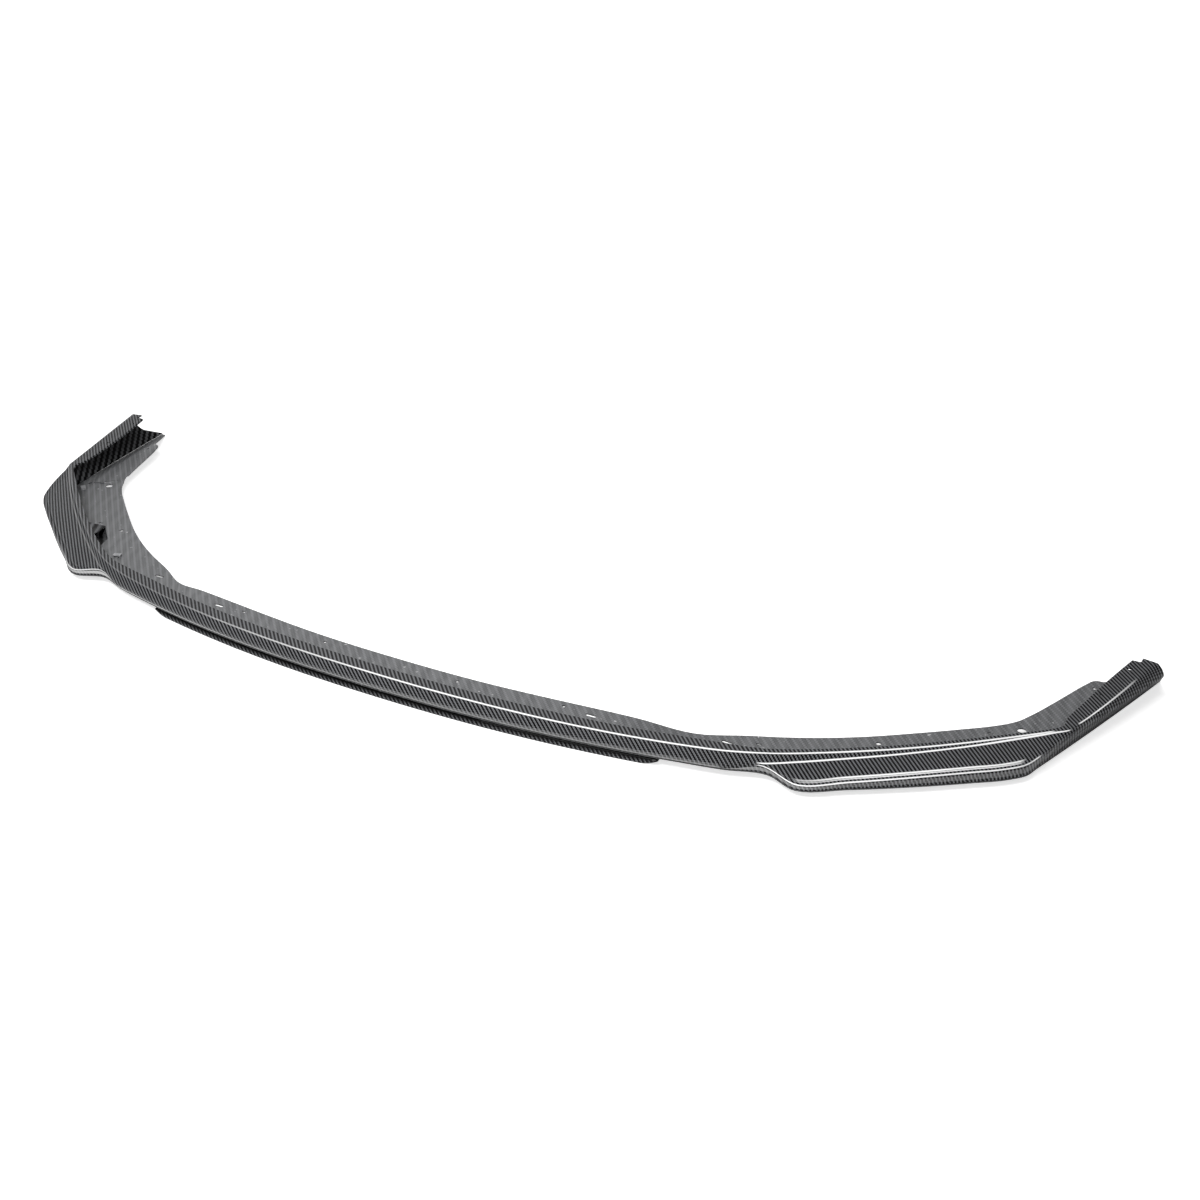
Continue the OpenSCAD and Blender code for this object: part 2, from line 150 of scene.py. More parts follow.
@dataclass(frozen=True)
class Plan:
    """The lip's plan and heights in millimetres, the same as the source of its solids has."""

    lip_w: float = 1792.0
    lip_d: float = 586.0
    corner_x: float = 530.0
    corner_back: float = 63.0
    run_bow: float = 12.0
    shoulder_in: float = 44.0
    wing_l: float = 266.0
    end_slant: float = 60.0
    top_in: float = 7.0
    wing_bow: float = 12.0
    foot_bow: float = 8.0
    nose_h: float = 36.5
    corner_h: float = 41.0
    shoulder_h: float = 46.5
    wing_h: float = 60.0
    hem_h: float = 14.5
    strip_w: float = 21.0
    run_strip_w: float = 9.0
    flange_w: float = 24.0
    bulge: float = 6.5
    wing_flare: float = 9.0
    wing_roll: float = 10.0
    end_hollow: float = 13.0
    blade_w: float = 41.0
    blade_spread: float = 7.0
    blade_front_h: float = 20.0
    blade_rear_h: float = 30.0
    blade_foot_h: float = 12.8
    ledge_w: float = 6.0
    ledge_drop: float = 2.0
    turned_edge: float = 3.0
    glue: float = 0.3
    tray_t: float = 2.0
    tray_h: float = 15.5
    tray_rise: float = 6.5
    nose_tray_d: float = 55.0
    side_tray_d: float = 82.0
    nose_power: float = 2.2
    wing_power: float = 1.5
    foot_from: tuple = (-30.0, -90.0)

    @property
    def nose_y(self) -> float:
        """Place of the crease at the middle of the nose."""
        return self.bulge - self.lip_d / 2

    @property
    def corner(self) -> np.ndarray:
        """Front corner of the crease in plan."""
        return np.array([self.corner_x, self.nose_y + self.corner_back])

    @property
    def shoulder(self) -> np.ndarray:
        """Shoulder of the crease in plan."""
        return np.array([self.lip_w / 2 - self.shoulder_in, self.lip_d / 2 - self.wing_l])

    @property
    def tip(self) -> np.ndarray:
        """Foot of the rear tip in plan, a little past the trim line."""
        return np.array([self.lip_w / 2, self.lip_d / 2 + 1])

    @property
    def wing_top(self) -> np.ndarray:
        """End of the wing's line in plan."""
        return np.array([self.lip_w / 2 - self.top_in, self.lip_d / 2 - self.end_slant])

    @property
    def plate_h(self) -> float:
        """Height of the tray's plate behind the nose."""
        return self.nose_h - self.turned_edge - self.glue

    @property
    def edge_h(self) -> float:
        """Height of the tray's edge under the nose."""
        return self.hem_h - self.glue

    def nose(self, s: float, u: float, z: float) -> np.ndarray:
        """Gives a point of the nose.

        Args:
            s: Place along the nose, 0 at the centre and 1 at the corner.
            u: Distance in front of the crease.
            z: Height.

        Returns:
            The point.
        """
        slope = self.nose_power * self.corner_back * s ** (self.nose_power - 1) / self.corner_x
        out = unit(np.array([slope, -1.0]))
        x = self.corner_x * s + u * out[0]
        return np.array([x, self.nose_y + self.corner_back * s**self.nose_power + u * out[1], z])

    def run(self, f: float, u: float, z: float) -> np.ndarray:
        """Gives a point of the blade run, f from the corner to the shoulder, u in front of the crease."""
        return beside(self.corner, self.shoulder, 4 * self.run_bow, f, u, z)

    def wing(self, g: float, u: float, z: float) -> np.ndarray:
        """Gives a point of the wing's top, g from the shoulder to its end, u out from its line."""
        return beside(self.shoulder, self.wing_top, self.wing_bow, g, u, z)

    def foot(self, g: float, u: float, z: float) -> np.ndarray:
        """Gives a point along the wing's foot, g from its front to the tip, u out from its line."""
        return beside(self.shoulder + np.array(self.foot_from), self.tip, self.foot_bow, g, u, z)

    def wing_z(self, g: float) -> float:
        """Height of the wing's crease."""
        return mix(self.shoulder_h, self.wing_h, g**self.wing_power)

    def tray_z(self, share: float) -> float:
        """Height of the tray towards the wing's end."""
        return self.tray_h + self.tray_rise * share

    def face_z(self, share: float) -> float:
        """Height of a share of the nose's face."""
        return mix(self.hem_h, self.nose_h, share)

    def root_z(self, share: float) -> float:
        """Height of the blade's root, which climbs from the nose's face to the shoulder."""
        return mix(self.face_z(0.66), self.shoulder_h, share)

    def nose_row(self, u: object, z: object) -> list[np.ndarray]:
        """Gives the six keys of a rail along the nose.

        Args:
            u: Distance in front of the crease, one for all keys or a list.
            z: Height, one for all keys or a list.

        Returns:
            The key points.
        """
        places = (0, 0.25, 0.5, 0.7, 0.84, 0.94)
        us = u if isinstance(u, list) else [u] * len(places)
        zs = z if isinstance(z, list) else [z] * len(places)
        return [self.nose(*key) for key in zip(places, us, zs)]

    def nose_z(self) -> list[float]:
        """Heights of the crease along the nose."""
        n, c = self.nose_h, self.corner_h
        return [n, n, n, n + 0.5, mix(n, c, 0.4), mix(n, c, 0.8)]

    def run_z(self) -> list[float]:
        """Heights of the crease along the blade run."""
        c, s = self.corner_h, self.shoulder_h
        return [c, c, c, c + 0.5, mix(c, s, 0.4), mix(c, s, 0.75), mix(c, s, 0.9), s]

    def plate_z(self, over: float = 0.0) -> list[float]:
        """Heights of the tray's plate, which falls from the nose to the corner."""
        return [mix(self.plate_h, self.tray_h, fall) + over for fall in (0, 0, 0, 0.07, 0.8, 1)]

    def rolled(self, g: float, share: float, u: float, drop: float, more: float) -> np.ndarray:
        """Gives a point of the wing's wall, which rolls out towards the wing's end."""
        out = u + self.wing_flare * g + share * self.wing_roll * g**self.wing_power
        return self.wing(g, out, self.wing_z(g) - drop - more * g)

    def blade_row(self, inset: float, up: float) -> list[np.ndarray]:
        """Gives five keys along the blade, which grows wider and higher to the rear.

        Args:
            inset: How far they lie in from the blade's outer edge.
            up: How far they lie above it.

        Returns:
            The key points.
        """
        keys = ((0.125, 0, 0), (0.27, 0.15, 0.28), (0.45, 0.5, 0.65), (0.65, 0.93, 0.98), (0.74, 1, 1))
        return [self.run(f, self.blade_w + self.blade_spread * wider - inset,
                         mix(self.blade_front_h, self.blade_rear_h, rise) + up) for f, wider, rise in keys]

    def corner_row(self, keys: tuple) -> list[np.ndarray]:
        """Gives keys round the blade's rear corner.

        Args:
            keys: Place, share of the blade's width, inset and share of the rise to the shoulder, for each key.

        Returns:
            The key points.
        """
        width = self.blade_w + self.blade_spread
        return [self.run(f, width * share - inset, mix(self.blade_rear_h, self.shoulder_h, rise))
                for f, share, inset, rise in keys]

    def lower_edge(self, inset: float, drop: float) -> list[np.ndarray]:
        """Gives the keys of the skin's lower edge, or of the tray's edge under it.

        Args:
            inset: How far they lie inwards.
            drop: How much lower they lie.

        Returns:
            The key points.
        """
        w, foot = self.blade_w, self.blade_foot_h
        keys = ((0.05, 4, self.hem_h - 0.5), (0.115, w - 2, foot), (0.27, w, foot), (0.45, w + 1, foot),
                (0.65, w + 2, foot), (0.768, w + 2.4, foot))
        places = (0.03, 0.1, 0.2, 0.31, 0.43, 0.56, 0.76, 1)
        last = self.tray_t + 2 * self.glue
        return [
            *self.nose_row(1.5 - inset, self.hem_h - drop),
            *[self.run(f, u - inset, z - drop) for f, u, z in keys],
            *[self.foot(g, -inset, mix(foot, last, g) - drop) for g in places],
        ]


@dataclass(frozen=True)
class Rail:
    """One line along the lip: its keys, its rounding and the light painted on it, white highlight above 0 and black
    shade below.

    The left half has its own painted light, with fainter highlights and some painted shade, as the light falls from
    the right. Breaks are the intervals between keys where the right half's painted highlight stops.
    """

    keys: list
    radius: tuple = (1.0, 1.0, 1.0)
    resin: tuple = (0.0, 0.0, 0.0)
    left: tuple = ()
    breaks: tuple = ()

    @staticmethod
    def _along(values: tuple) -> list[float]:
        """Spreads one value a zone over its keys, and leaves one value a key as it is."""
        spread = [v for v, count in zip(values, ZONE_KEYS) for _ in range(count)]
        return list(values) if len(values) > len(ZONE_KEYS) else spread

    def radii(self) -> list[float]:
        """Returns the rounding at each key."""
        return self._along(self.radius)

    def painted_light_at_keys(self, side: Side) -> list[float]:
        """Returns the painted light at each key of one half."""
        return self._along(self.left if side is Side.LEFT and self.left else self.resin)


@contextmanager
def edited(mesh: Mesh) -> Iterator[bmesh.types.BMesh]:
    """Opens a mesh for editing and writes it back.

    Args:
        mesh: The mesh.

    Yields:
        Its editable form.
    """
    bm = bmesh.new()
    bm.from_mesh(mesh)
    yield bm
    bm.to_mesh(mesh)
    bm.free()


def rounded(loop: np.ndarray, radii: np.ndarray) -> np.ndarray:
    """Rounds the corners of closed section loops.

    Args:
        loop: Corners as [section, corner, xyz].
        radii: Rounding by section and corner.

    Returns:
        The loops with seven points a corner, the first and last of which hold the flats beside it.
    """
    ends, holds = [], []
    for shift in (1, -1):
        way = np.roll(loop, shift, axis=1) - loop
        length = np.linalg.norm(way, axis=2, keepdims=True)
        cut = np.minimum(radii[..., None], MOST_CUT * length)
        ends.append(loop + way / length * cut)
        holds.append(loop + way / length * (cut + np.minimum(HOLD_MM, HOLD_SHARE * length)))
    start, end = ends
    bends = [start * (1 - t) ** 2 + loop * 2 * t * (1 - t) + end * t * t for t in (0.25, 0.5, 0.75)]
    return np.stack([holds[0], start, *bends, end, holds[1]], axis=2).reshape(len(loop), -1, 3)


@dataclass(frozen=True)
class Loft:
    """A moulded sheet lofted through rails and their mirror images, with rounded section corners.

    Steps are the numbers of sections from each key to the next.
    """

    rails: list
    thickness: float
    rim_radius: float = 0.6
    wide_radius: float = 4.0
    steps: tuple = (6, 6, 6, 6, 6, 6, 8, 6, 6, 6, 6, 4, 4, 4, 4, 6, 4, 4, 6)

    @staticmethod
    def _tangents(keys: np.ndarray) -> np.ndarray:
        """Returns the direction of a rail at each key, level where its height turns.

        Args:
            keys: Key points of half a rail, from the centre line outwards.

        Returns:
            One direction a key.
        """
        padded = np.vstack([mirrored(keys[1], Side.LEFT), keys, 2 * keys[-1] - keys[-2]])
        found = []
        for a, b, c in zip(padded[:-2], padded[1:-1], padded[2:]):
            before, after = np.linalg.norm(b - a), np.linalg.norm(c - b)
            way = ((b - a) / before * after + (c - b) / after * before) / (before + after)
            if (b[2] - a[2]) * (c[2] - b[2]) <= 0:
                way[2] = 0.0
            found.append(way)
        return np.array(found)

    def _half(self, rail: Rail) -> tuple[np.ndarray, np.ndarray]:
        """Samples half a rail.

        Args:
            rail: The rail.

        Returns:
            The points, and their rounding and their painted light on the right and on the left.
        """
        keys = np.array(rail.keys)
        extras = np.column_stack([rail.radii(), rail.painted_light_at_keys(Side.RIGHT), rail.painted_light_at_keys(Side.LEFT)])
        tangents = self._tangents(keys)
        points, values = [], []
        for i, count in enumerate(self.steps):
            a, b, ta, tb = keys[i], keys[i + 1], tangents[i], tangents[i + 1]
            d = np.linalg.norm(b - a)
            # A line of painted light starts and ends at a key, and doesn't fade in before it
            carried = extras[i][1:] * extras[i + 1][1:] != 0
            shown = [True, carried[0] and i not in rail.breaks, carried[1]]
            for k in range(count):
                t = k / count
                points.append(
                    a * (2 * t**3 - 3 * t * t + 1) + b * (3 * t * t - 2 * t**3)
                    + d * ta * (t**3 - 2 * t * t + t) + d * tb * (t**3 - t * t)
                )
                values.append(np.where(shown, mix(extras[i], extras[i + 1], t), 0.0))
        return np.array([*points, keys[-1]]), np.array([*values, extras[-1]])

    def _inset(self, grid: np.ndarray) -> np.ndarray:
        """Returns the grid moved inwards by the thickness, mitred at its corners.

        Args:
            grid: Points as [section, corner, xyz].

        Returns:
            The inner grid.
        """
        along = np.empty_like(grid)
        along[1:-1] = grid[2:] - grid[:-2]
        along[0], along[-1] = grid[1] - grid[0], grid[-1] - grid[-2]
        sides = np.diff(grid, axis=1)
        ending, starting = np.cross(along[:, 1:], sides), np.cross(along[:, :-1], sides)
        ending /= np.linalg.norm(ending, axis=2, keepdims=True)
        starting /= np.linalg.norm(starting, axis=2, keepdims=True)
        before = np.concatenate([ending[:, :1], ending], axis=1)
        after = np.concatenate([starting, starting[:, -1:]], axis=1)
        return mitred(grid, before, after, self.thickness)

    def _painted_light_points(self, radii: np.ndarray, resin: np.ndarray) -> np.ndarray:
        """Spreads the painted light of each corner, highlight and shade, over the points of its rounding.

        Args:
            radii: Rounding by section and corner.
            resin: Painted highlight by section and corner, or below 0 painted shade.

        Returns:
            The painted light of every point.
        """
        marks = resin[..., None] * np.array(PAINTED_LIGHT_SPREAD)
        # Between two wide roundings, as at the foot of the nose's bulged face, the painted highlight runs on
        wide = (radii > self.wide_radius) & (resin > 0)
        marks[..., 1:-1] = np.where(wide[..., None], resin[..., None], marks[..., 1:-1])
        shared = np.where(wide & np.roll(wide, -1, axis=1), resin + np.roll(resin, -1, axis=1), 0) / 2
        marks[..., -1] += shared
        marks[..., 0] += np.roll(shared, 1, axis=1)
        return marks.ravel()

    @staticmethod
    def _close(mesh: Mesh, limit_y: float) -> None:
        """Trims the open shell at the rear and caps its ends.

        Args:
            mesh: The shell.
            limit_y: Rear trim line, in millimetres.
        """
        with edited(mesh) as bm:
            bmesh.ops.holes_fill(bm, edges=[e for e in bm.edges if e.is_boundary], sides=0)
            bmesh.ops.bisect_plane(bm, geom=[*bm.verts, *bm.edges, *bm.faces], plane_co=(0, limit_y * MM, 0),
                                   plane_no=(0, 1, 0), clear_outer=True)
            bmesh.ops.holes_fill(bm, edges=[e for e in bm.edges if e.is_boundary], sides=0)
            bmesh.ops.triangulate(bm, faces=[f for f in bm.faces if len(f.verts) > 4])
            bmesh.ops.recalc_face_normals(bm, faces=bm.faces)

    def mesh(self, name: str, limit_y: float, finishes: list[Material]) -> Mesh:
        """Builds the closed shell.

        Args:
            name: Name of the mesh.
            limit_y: Rear trim line, in millimetres.
            finishes: Materials of its outer and of its inner side.

        Returns:
            The mesh, in metres, with the highlights and shade painted on its edges as an attribute.
        """
        halves = [self._half(rail) for rail in self.rails]
        outer = np.stack([half[0] for half in halves], axis=1)
        extras = np.stack([half[1] for half in halves], axis=1)
        outer = np.concatenate([mirrored(outer[:0:-1], Side.LEFT), outer])
        extras = np.concatenate([extras[:0:-1, :, [0, 2]], extras[..., [0, 1]]])
        loop = np.concatenate([outer, self._inset(outer)[:, ::-1]], axis=1)
        radii = np.concatenate([extras[..., 0], extras[:, ::-1, 0]], axis=1)
        resin = np.concatenate([extras[..., 1], np.zeros_like(extras[..., 1])], axis=1)
        # The shade painted black on the hem reaches round its edge
        last = outer.shape[1] - 1
        resin[:, last + 1] = np.minimum(resin[:, last], 0)
        radii[:, [0, last, last + 1, -1]] = self.rim_radius
        points = rounded(loop, radii)
        rows, columns = points.shape[:2]
        grid = np.arange(rows * columns).reshape(rows, columns)
        across = np.roll(grid, -1, axis=1)
        quads = np.stack([grid[:-1], grid[1:], across[1:], across[:-1]], axis=-1).reshape(-1, 4)
        mesh = bpy.data.meshes.new(name)
        mesh.from_pydata((points.reshape(-1, 3) * MM).tolist(), [], quads.tolist())
        for finish in finishes:
            mesh.materials.append(finish)
        inside = (np.arange(columns) >= columns // 2) & (np.arange(columns) < columns - 1)
        mesh.polygons.foreach_set("material_index", np.tile(inside, rows - 1).astype(np.int32))
        mesh.attributes.new("resin", "FLOAT", "POINT").data.foreach_set("value", self._painted_light_points(radii, resin))
        self._close(mesh, limit_y)
        return mesh


def add_node(tree: NodeTree, kind: str, inputs: dict | tuple = (), **settings: object) -> Node:
    """Adds a node with its settings and links.

    Args:
        tree: The tree that gets the node.
        kind: The node's type.
        inputs: Values, output sockets or nodes, which stand for their first output, by the name or number
            of the input that each goes to, or in the order of the inputs.
        **settings: Properties set on the node.

    Returns:
        The node.
    """
    node = tree.nodes.new(kind)
    for key, value in settings.items():
        setattr(node, key, value)
    for key, value in inputs.items() if isinstance(inputs, dict) else enumerate(inputs):
        source = value.outputs[0] if isinstance(value, Node) else value
        if isinstance(source, NodeSocket):
            tree.links.new(source, node.inputs[key])
        else:
            node.inputs[key].default_value = source
    return node


def cleared_tree(owner: Material | bpy.types.World) -> NodeTree:
    """Returns the node tree of a new material or world, with nothing in it.

    Args:
        owner: The material or world.

    Returns:
        Its tree.
    """
    owner.use_nodes = True
    owner.node_tree.nodes.clear()
    return owner.node_tree


@dataclass(frozen=True)
class CarbonTwill:
    """Two-by-two twill of carbon tows set in clear resin, laid level in plan over the whole moulding."""

    name: str
    tow_mm: float
    warp: str
    weft: str
    gap: str
    roughness: float = 0.5
    coat: float = 0.0
    coat_roughness: float = 0.3
    ior: float = 1.5
    specular: float = 0.5
    depth: float = 0.5
    lean: float = 0.7
    haze: float = 0.0
    haze_colour: str = "#8a8b8d"
    marks: float = 0.0
    mark_colour: str = "#d8d8d9"
    # Colours of the white highlights and the black shade painted along edges through the mesh attribute
    resin: str = "#ffffff"
    painted_shade_colour: str = "#060606"
    grain: float = 0.3
    sway_mm: float = 1.2
    relief_mm: float = 0.12
    float_tows: float = 2.0

    def _weave(self, tree: NodeTree, place: NodeSocket) -> tuple[Node, Node]:
        """Draws the twill.

        Args:
            tree: The material's tree.
            place: Object coordinates.

        Returns:
            Nodes that say where the warp lies on top, and the height of the tows.
        """
        add, step = partial(add_node, tree), partial(add_node, tree, "ShaderNodeMath")
        # The cloth was draped by hand, so its tows sway a little over a hand's breadth
        sway = add("ShaderNodeTexNoise", {"Vector": place, "Scale": 9.0, "Detail": 1.0})
        offset = add("ShaderNodeVectorMath", (sway.outputs["Color"], (0.5, 0.5, 0.5)), operation="SUBTRACT")
        scaled = add("ShaderNodeVectorMath", {0: offset, "Scale": self.sway_mm * MM}, operation="SCALE")
        moved = add("ShaderNodeVectorMath", (place, scaled), operation="ADD")
        x, y, z = add("ShaderNodeSeparateXYZ", (moved,)).outputs
        tow = self.tow_mm * MM
        u = step((x, tow), operation="DIVIDE")
        level = step((y, step((z, self.lean), operation="MULTIPLY")), operation="ADD")
        v = step((level, tow), operation="DIVIDE")
        column, row = (step((line,), operation="FLOOR") for line in (u, v))
        across, along = (step((line,), operation="FRACT") for line in (u, v))
        diagonal = step((column, row), operation="ADD")
        stage = step((diagonal, 2 * self.float_tows), operation="FLOORED_MODULO")
        warp_up = step((stage, self.float_tows - 0.5), operation="LESS_THAN")
        # Each float is a rounded bar two tows long, highest at its middle
        past = step((step((stage, across), operation="ADD"), self.float_tows), operation="SUBTRACT")
        over_weft, over_warp = (step((way, 1 / self.float_tows), operation="MULTIPLY")
                                for way in (past, step((stage, along), operation="ADD")))
        reach = add("ShaderNodeMix", {0: warp_up, 2: over_weft, 3: over_warp})
        width = add("ShaderNodeMix", {0: warp_up, 2: along, 3: across})
        crown, round_up = (step((step((part, math.pi), operation="MULTIPLY"),), operation="SINE")
                           for part in (reach, width))
        height = step((crown, step((round_up, 0.5), operation="POWER")), operation="MULTIPLY")
        return warp_up, height

    def _layers(self, tree: NodeTree, place: NodeSocket, warp_up: Node, height: Node) -> list[tuple]:
        """Lists the colours that lie over the weft's, from the cloth outwards.

        Args:
            tree: The material's tree.
            place: Object coordinates.
            warp_up: Where the warp lies on top.
            height: Height of the tows.

        Returns:
            How much of each colour shows, and the colour.
        """
        add, step = partial(add_node, tree), partial(add_node, tree, "ShaderNodeMath")
        # Filaments of a tow catch the light unevenly, finer than the tow itself
        grain = add("ShaderNodeTexNoise", {"Vector": place, "Scale": 700.0, "Detail": 2.0})
        low = step((step((1.0, height), operation="SUBTRACT"), 3.0), operation="POWER")
        layers = [(warp_up, self.warp), (step((grain, self.grain), operation="MULTIPLY"), self.gap),
                  (step((low, self.depth), operation="MULTIPLY"), self.gap)]
        if self.haze:
            # Hazy bands and blotches of dry resin from the mould, about a hand's breadth apart
            turned = add("ShaderNodeMapping", {0: place, "Rotation": (0.0, 0.0, math.radians(-24))})
            bands = add("ShaderNodeTexWave", {"Vector": turned, "Scale": 15.0, "Distortion": 4.0,
                                              "Detail": 2.0, "Detail Scale": 1.5})
            patches = add("ShaderNodeTexNoise", {"Vector": place, "Scale": 11.0, "Detail": 3.0})
            cloud = step((bands.outputs["Fac"], patches), operation="MULTIPLY")
            layers.append((step((cloud, self.haze), operation="MULTIPLY"), self.haze_colour))
        if self.marks:
            # Chips and scrapes from handling, a few millimetres long
            scrape = add("ShaderNodeTexNoise", {"Vector": place, "Scale": 130.0, "Detail": 2.0})
            layers.append((add("ShaderNodeMapRange", {0: scrape, 1: 0.7, 2: 0.74, 4: self.marks}), self.mark_colour))
        # White highlights are painted on sharp edges, and black shade on the hem and the parts under it
        edge = add("ShaderNodeAttribute", attribute_name="resin").outputs["Fac"]
        painted_shade = step((edge, -1.0), operation="MULTIPLY")
        return [*layers, (step((edge, 0.0), operation="MAXIMUM"), self.resin),
                (step((painted_shade, 0.0), operation="MAXIMUM"), self.painted_shade_colour)]

    def material(self) -> Material:
        """Builds the material.

        Returns:
            The material, whose pattern reads object coordinates.
        """
        material = bpy.data.materials.new(self.name)
        tree = cleared_tree(material)
        add = partial(add_node, tree)
        place = add("ShaderNodeTexCoord").outputs["Object"]
        warp_up, height = self._weave(tree, place)
        base = linear_colour(self.weft)
        for share, colour in self._layers(tree, place, warp_up, height):
            base = add("ShaderNodeMix", {0: share, 6: base, 7: linear_colour(colour)}, data_type="RGBA").outputs[2]
        bump = add("ShaderNodeBump", {"Height": height, "Strength": 0.3, "Distance": self.relief_mm * MM})
        shader = add("ShaderNodeBsdfPrincipled", {
            "Base Color": base, "Roughness": self.roughness, "IOR": self.ior, "Coat Weight": self.coat,
            "Coat Roughness": self.coat_roughness, "Coat IOR": self.ior, "Specular IOR Level": self.specular,
            "Normal": bump,
        })
        add("ShaderNodeOutputMaterial", {"Surface": shader})
        return material


def placed(name: str, data: bpy.types.ID) -> Object:
    """Makes an object of a mesh, a lamp or a camera and puts it in the scene.

    Args:
        name: Name of the object.
        data: Its mesh, lamp or camera.

    Returns:
        The object.
    """
    item = bpy.data.objects.new(name, data)
    bpy.context.scene.collection.objects.link(item)
    return item


def sharpen(mesh: Mesh, degrees: float = 35.0) -> None:
    """Shades a mesh smooth but for its sharp edges.

    Args:
        mesh: The mesh.
        degrees: Turn from which an edge is sharp.
    """
    with edited(mesh) as bm:
        for face in bm.faces:
            face.smooth = True
        for edge in bm.edges:
            edge.smooth = edge.calc_face_angle(math.pi) < math.radians(degrees)


def settle(mesh: Mesh, name: str, node: str) -> Object:
    """Makes an object of a finished mesh, puts it on the frame in place of a node and reports it.

    Args:
        mesh: The mesh, with its materials.
        name: Name of the object.
        node: The node that it stands for, which has a material slot of the same name.

    Returns:
        The object.
    """
    sharpen(mesh)
    piece = placed(name, mesh)
    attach(piece, "root")
    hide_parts(node)
    LOG.info("%s: %d faces", piece.name, len(mesh.polygons))
    return piece


def combined(mesh: Mesh, tools: list[Mesh], operation: str) -> Mesh:
    """Cuts meshes out of a mesh, or unites them with it.

    Args:
        mesh: The closed mesh to work on.
        tools: Closed meshes, clear of each other.
        operation: "DIFFERENCE" or "UNION".

    Returns:
        The new mesh.
    """
    joined = bpy.data.meshes.new(mesh.name + "_tools")
    with edited(joined) as bm:
        for part in tools:
            bm.from_mesh(part)
            bpy.data.meshes.remove(part)
        bmesh.ops.recalc_face_normals(bm, faces=bm.faces)
    tool, body = placed(joined.name, joined), placed(mesh.name, mesh)
    step = body.modifiers.new("tools", "BOOLEAN")
    step.operation = operation
    step.solver = "EXACT"
    step.object = tool
    evaluated = body.evaluated_get(bpy.context.evaluated_depsgraph_get())
    result = bpy.data.meshes.new_from_object(evaluated)
    for piece in (tool, body):
        bpy.data.objects.remove(piece)
    bpy.data.meshes.remove(joined)
    return result


def prism(outline: np.ndarray, low: float, high: float, slot: int = 0) -> Mesh:
    """Makes an upright prism over an outline.

    Args:
        outline: Corners in plan, in millimetres.
        low: Height of its foot in millimetres.
        high: Height of its top in millimetres.
        slot: Number of the material that its faces get in the moulding.

    Returns:
        The closed mesh, in metres.
    """
    count = len(outline)
    points = [(x * MM, y * MM, z * MM) for z in (low, high) for x, y in outline]
    walls = [(i, (i + 1) % count, count + (i + 1) % count, count + i) for i in range(count)]
    mesh = bpy.data.meshes.new("prism")
    mesh.from_pydata(points, [], [*walls, tuple(range(count - 1, -1, -1)), tuple(range(count, 2 * count))])
    mesh.polygons.foreach_set("material_index", [slot] * len(mesh.polygons))
    return mesh


def hole(place: np.ndarray, diameter: float, length: float = 0.0) -> Mesh:
    """Makes the cutter of a round or a long hole.

    Args:
        place: Centre of the hole in millimetres.
        diameter: Its diameter, or a long hole's width.
        length: Length of a long hole across the car, 0 for a round one.

    Returns:
        The cutter, in metres.
    """
    reach = max(length - diameter, 0.0) / 2
    turn = (np.arange(HOLE_POINTS) + 0.5) / HOLE_POINTS * 2 * math.pi
    xs = np.cos(turn) * diameter / 2 + np.where(np.cos(turn) >= 0, reach, -reach) + place[0]
    ys = np.sin(turn) * diameter / 2 + place[1]
    return prism(np.column_stack([xs, ys]), place[2] - CUTTER_REACH, place[2] + CUTTER_REACH)


def grown(outline: np.ndarray, by: float) -> np.ndarray:
    """Moves the sides of an outline out, with its corners kept sharp.

    Args:
        outline: Corners in plan, in millimetres.
        by: How far the sides move.

    Returns:
        The larger outline.
    """
    before, after = outline - np.roll(outline, 1, axis=0), np.roll(outline, -1, axis=0) - outline
    turning = np.sign((before[:, 0] * after[:, 1] - before[:, 1] * after[:, 0]).sum())
    return mitred(outline, normals(before), normals(after), turning * by, least=0.0)


def hull(points: np.ndarray) -> Mesh:
    """Makes the convex body round points.

    Args:
        points: The points in millimetres.

    Returns:
        The closed mesh, in metres.
    """
    mesh = bpy.data.meshes.new("hull")
    with edited(mesh) as bm:
        for p in points:
            bm.verts.new(p * MM)
        bmesh.ops.convex_hull(bm, input=bm.verts)
    return mesh


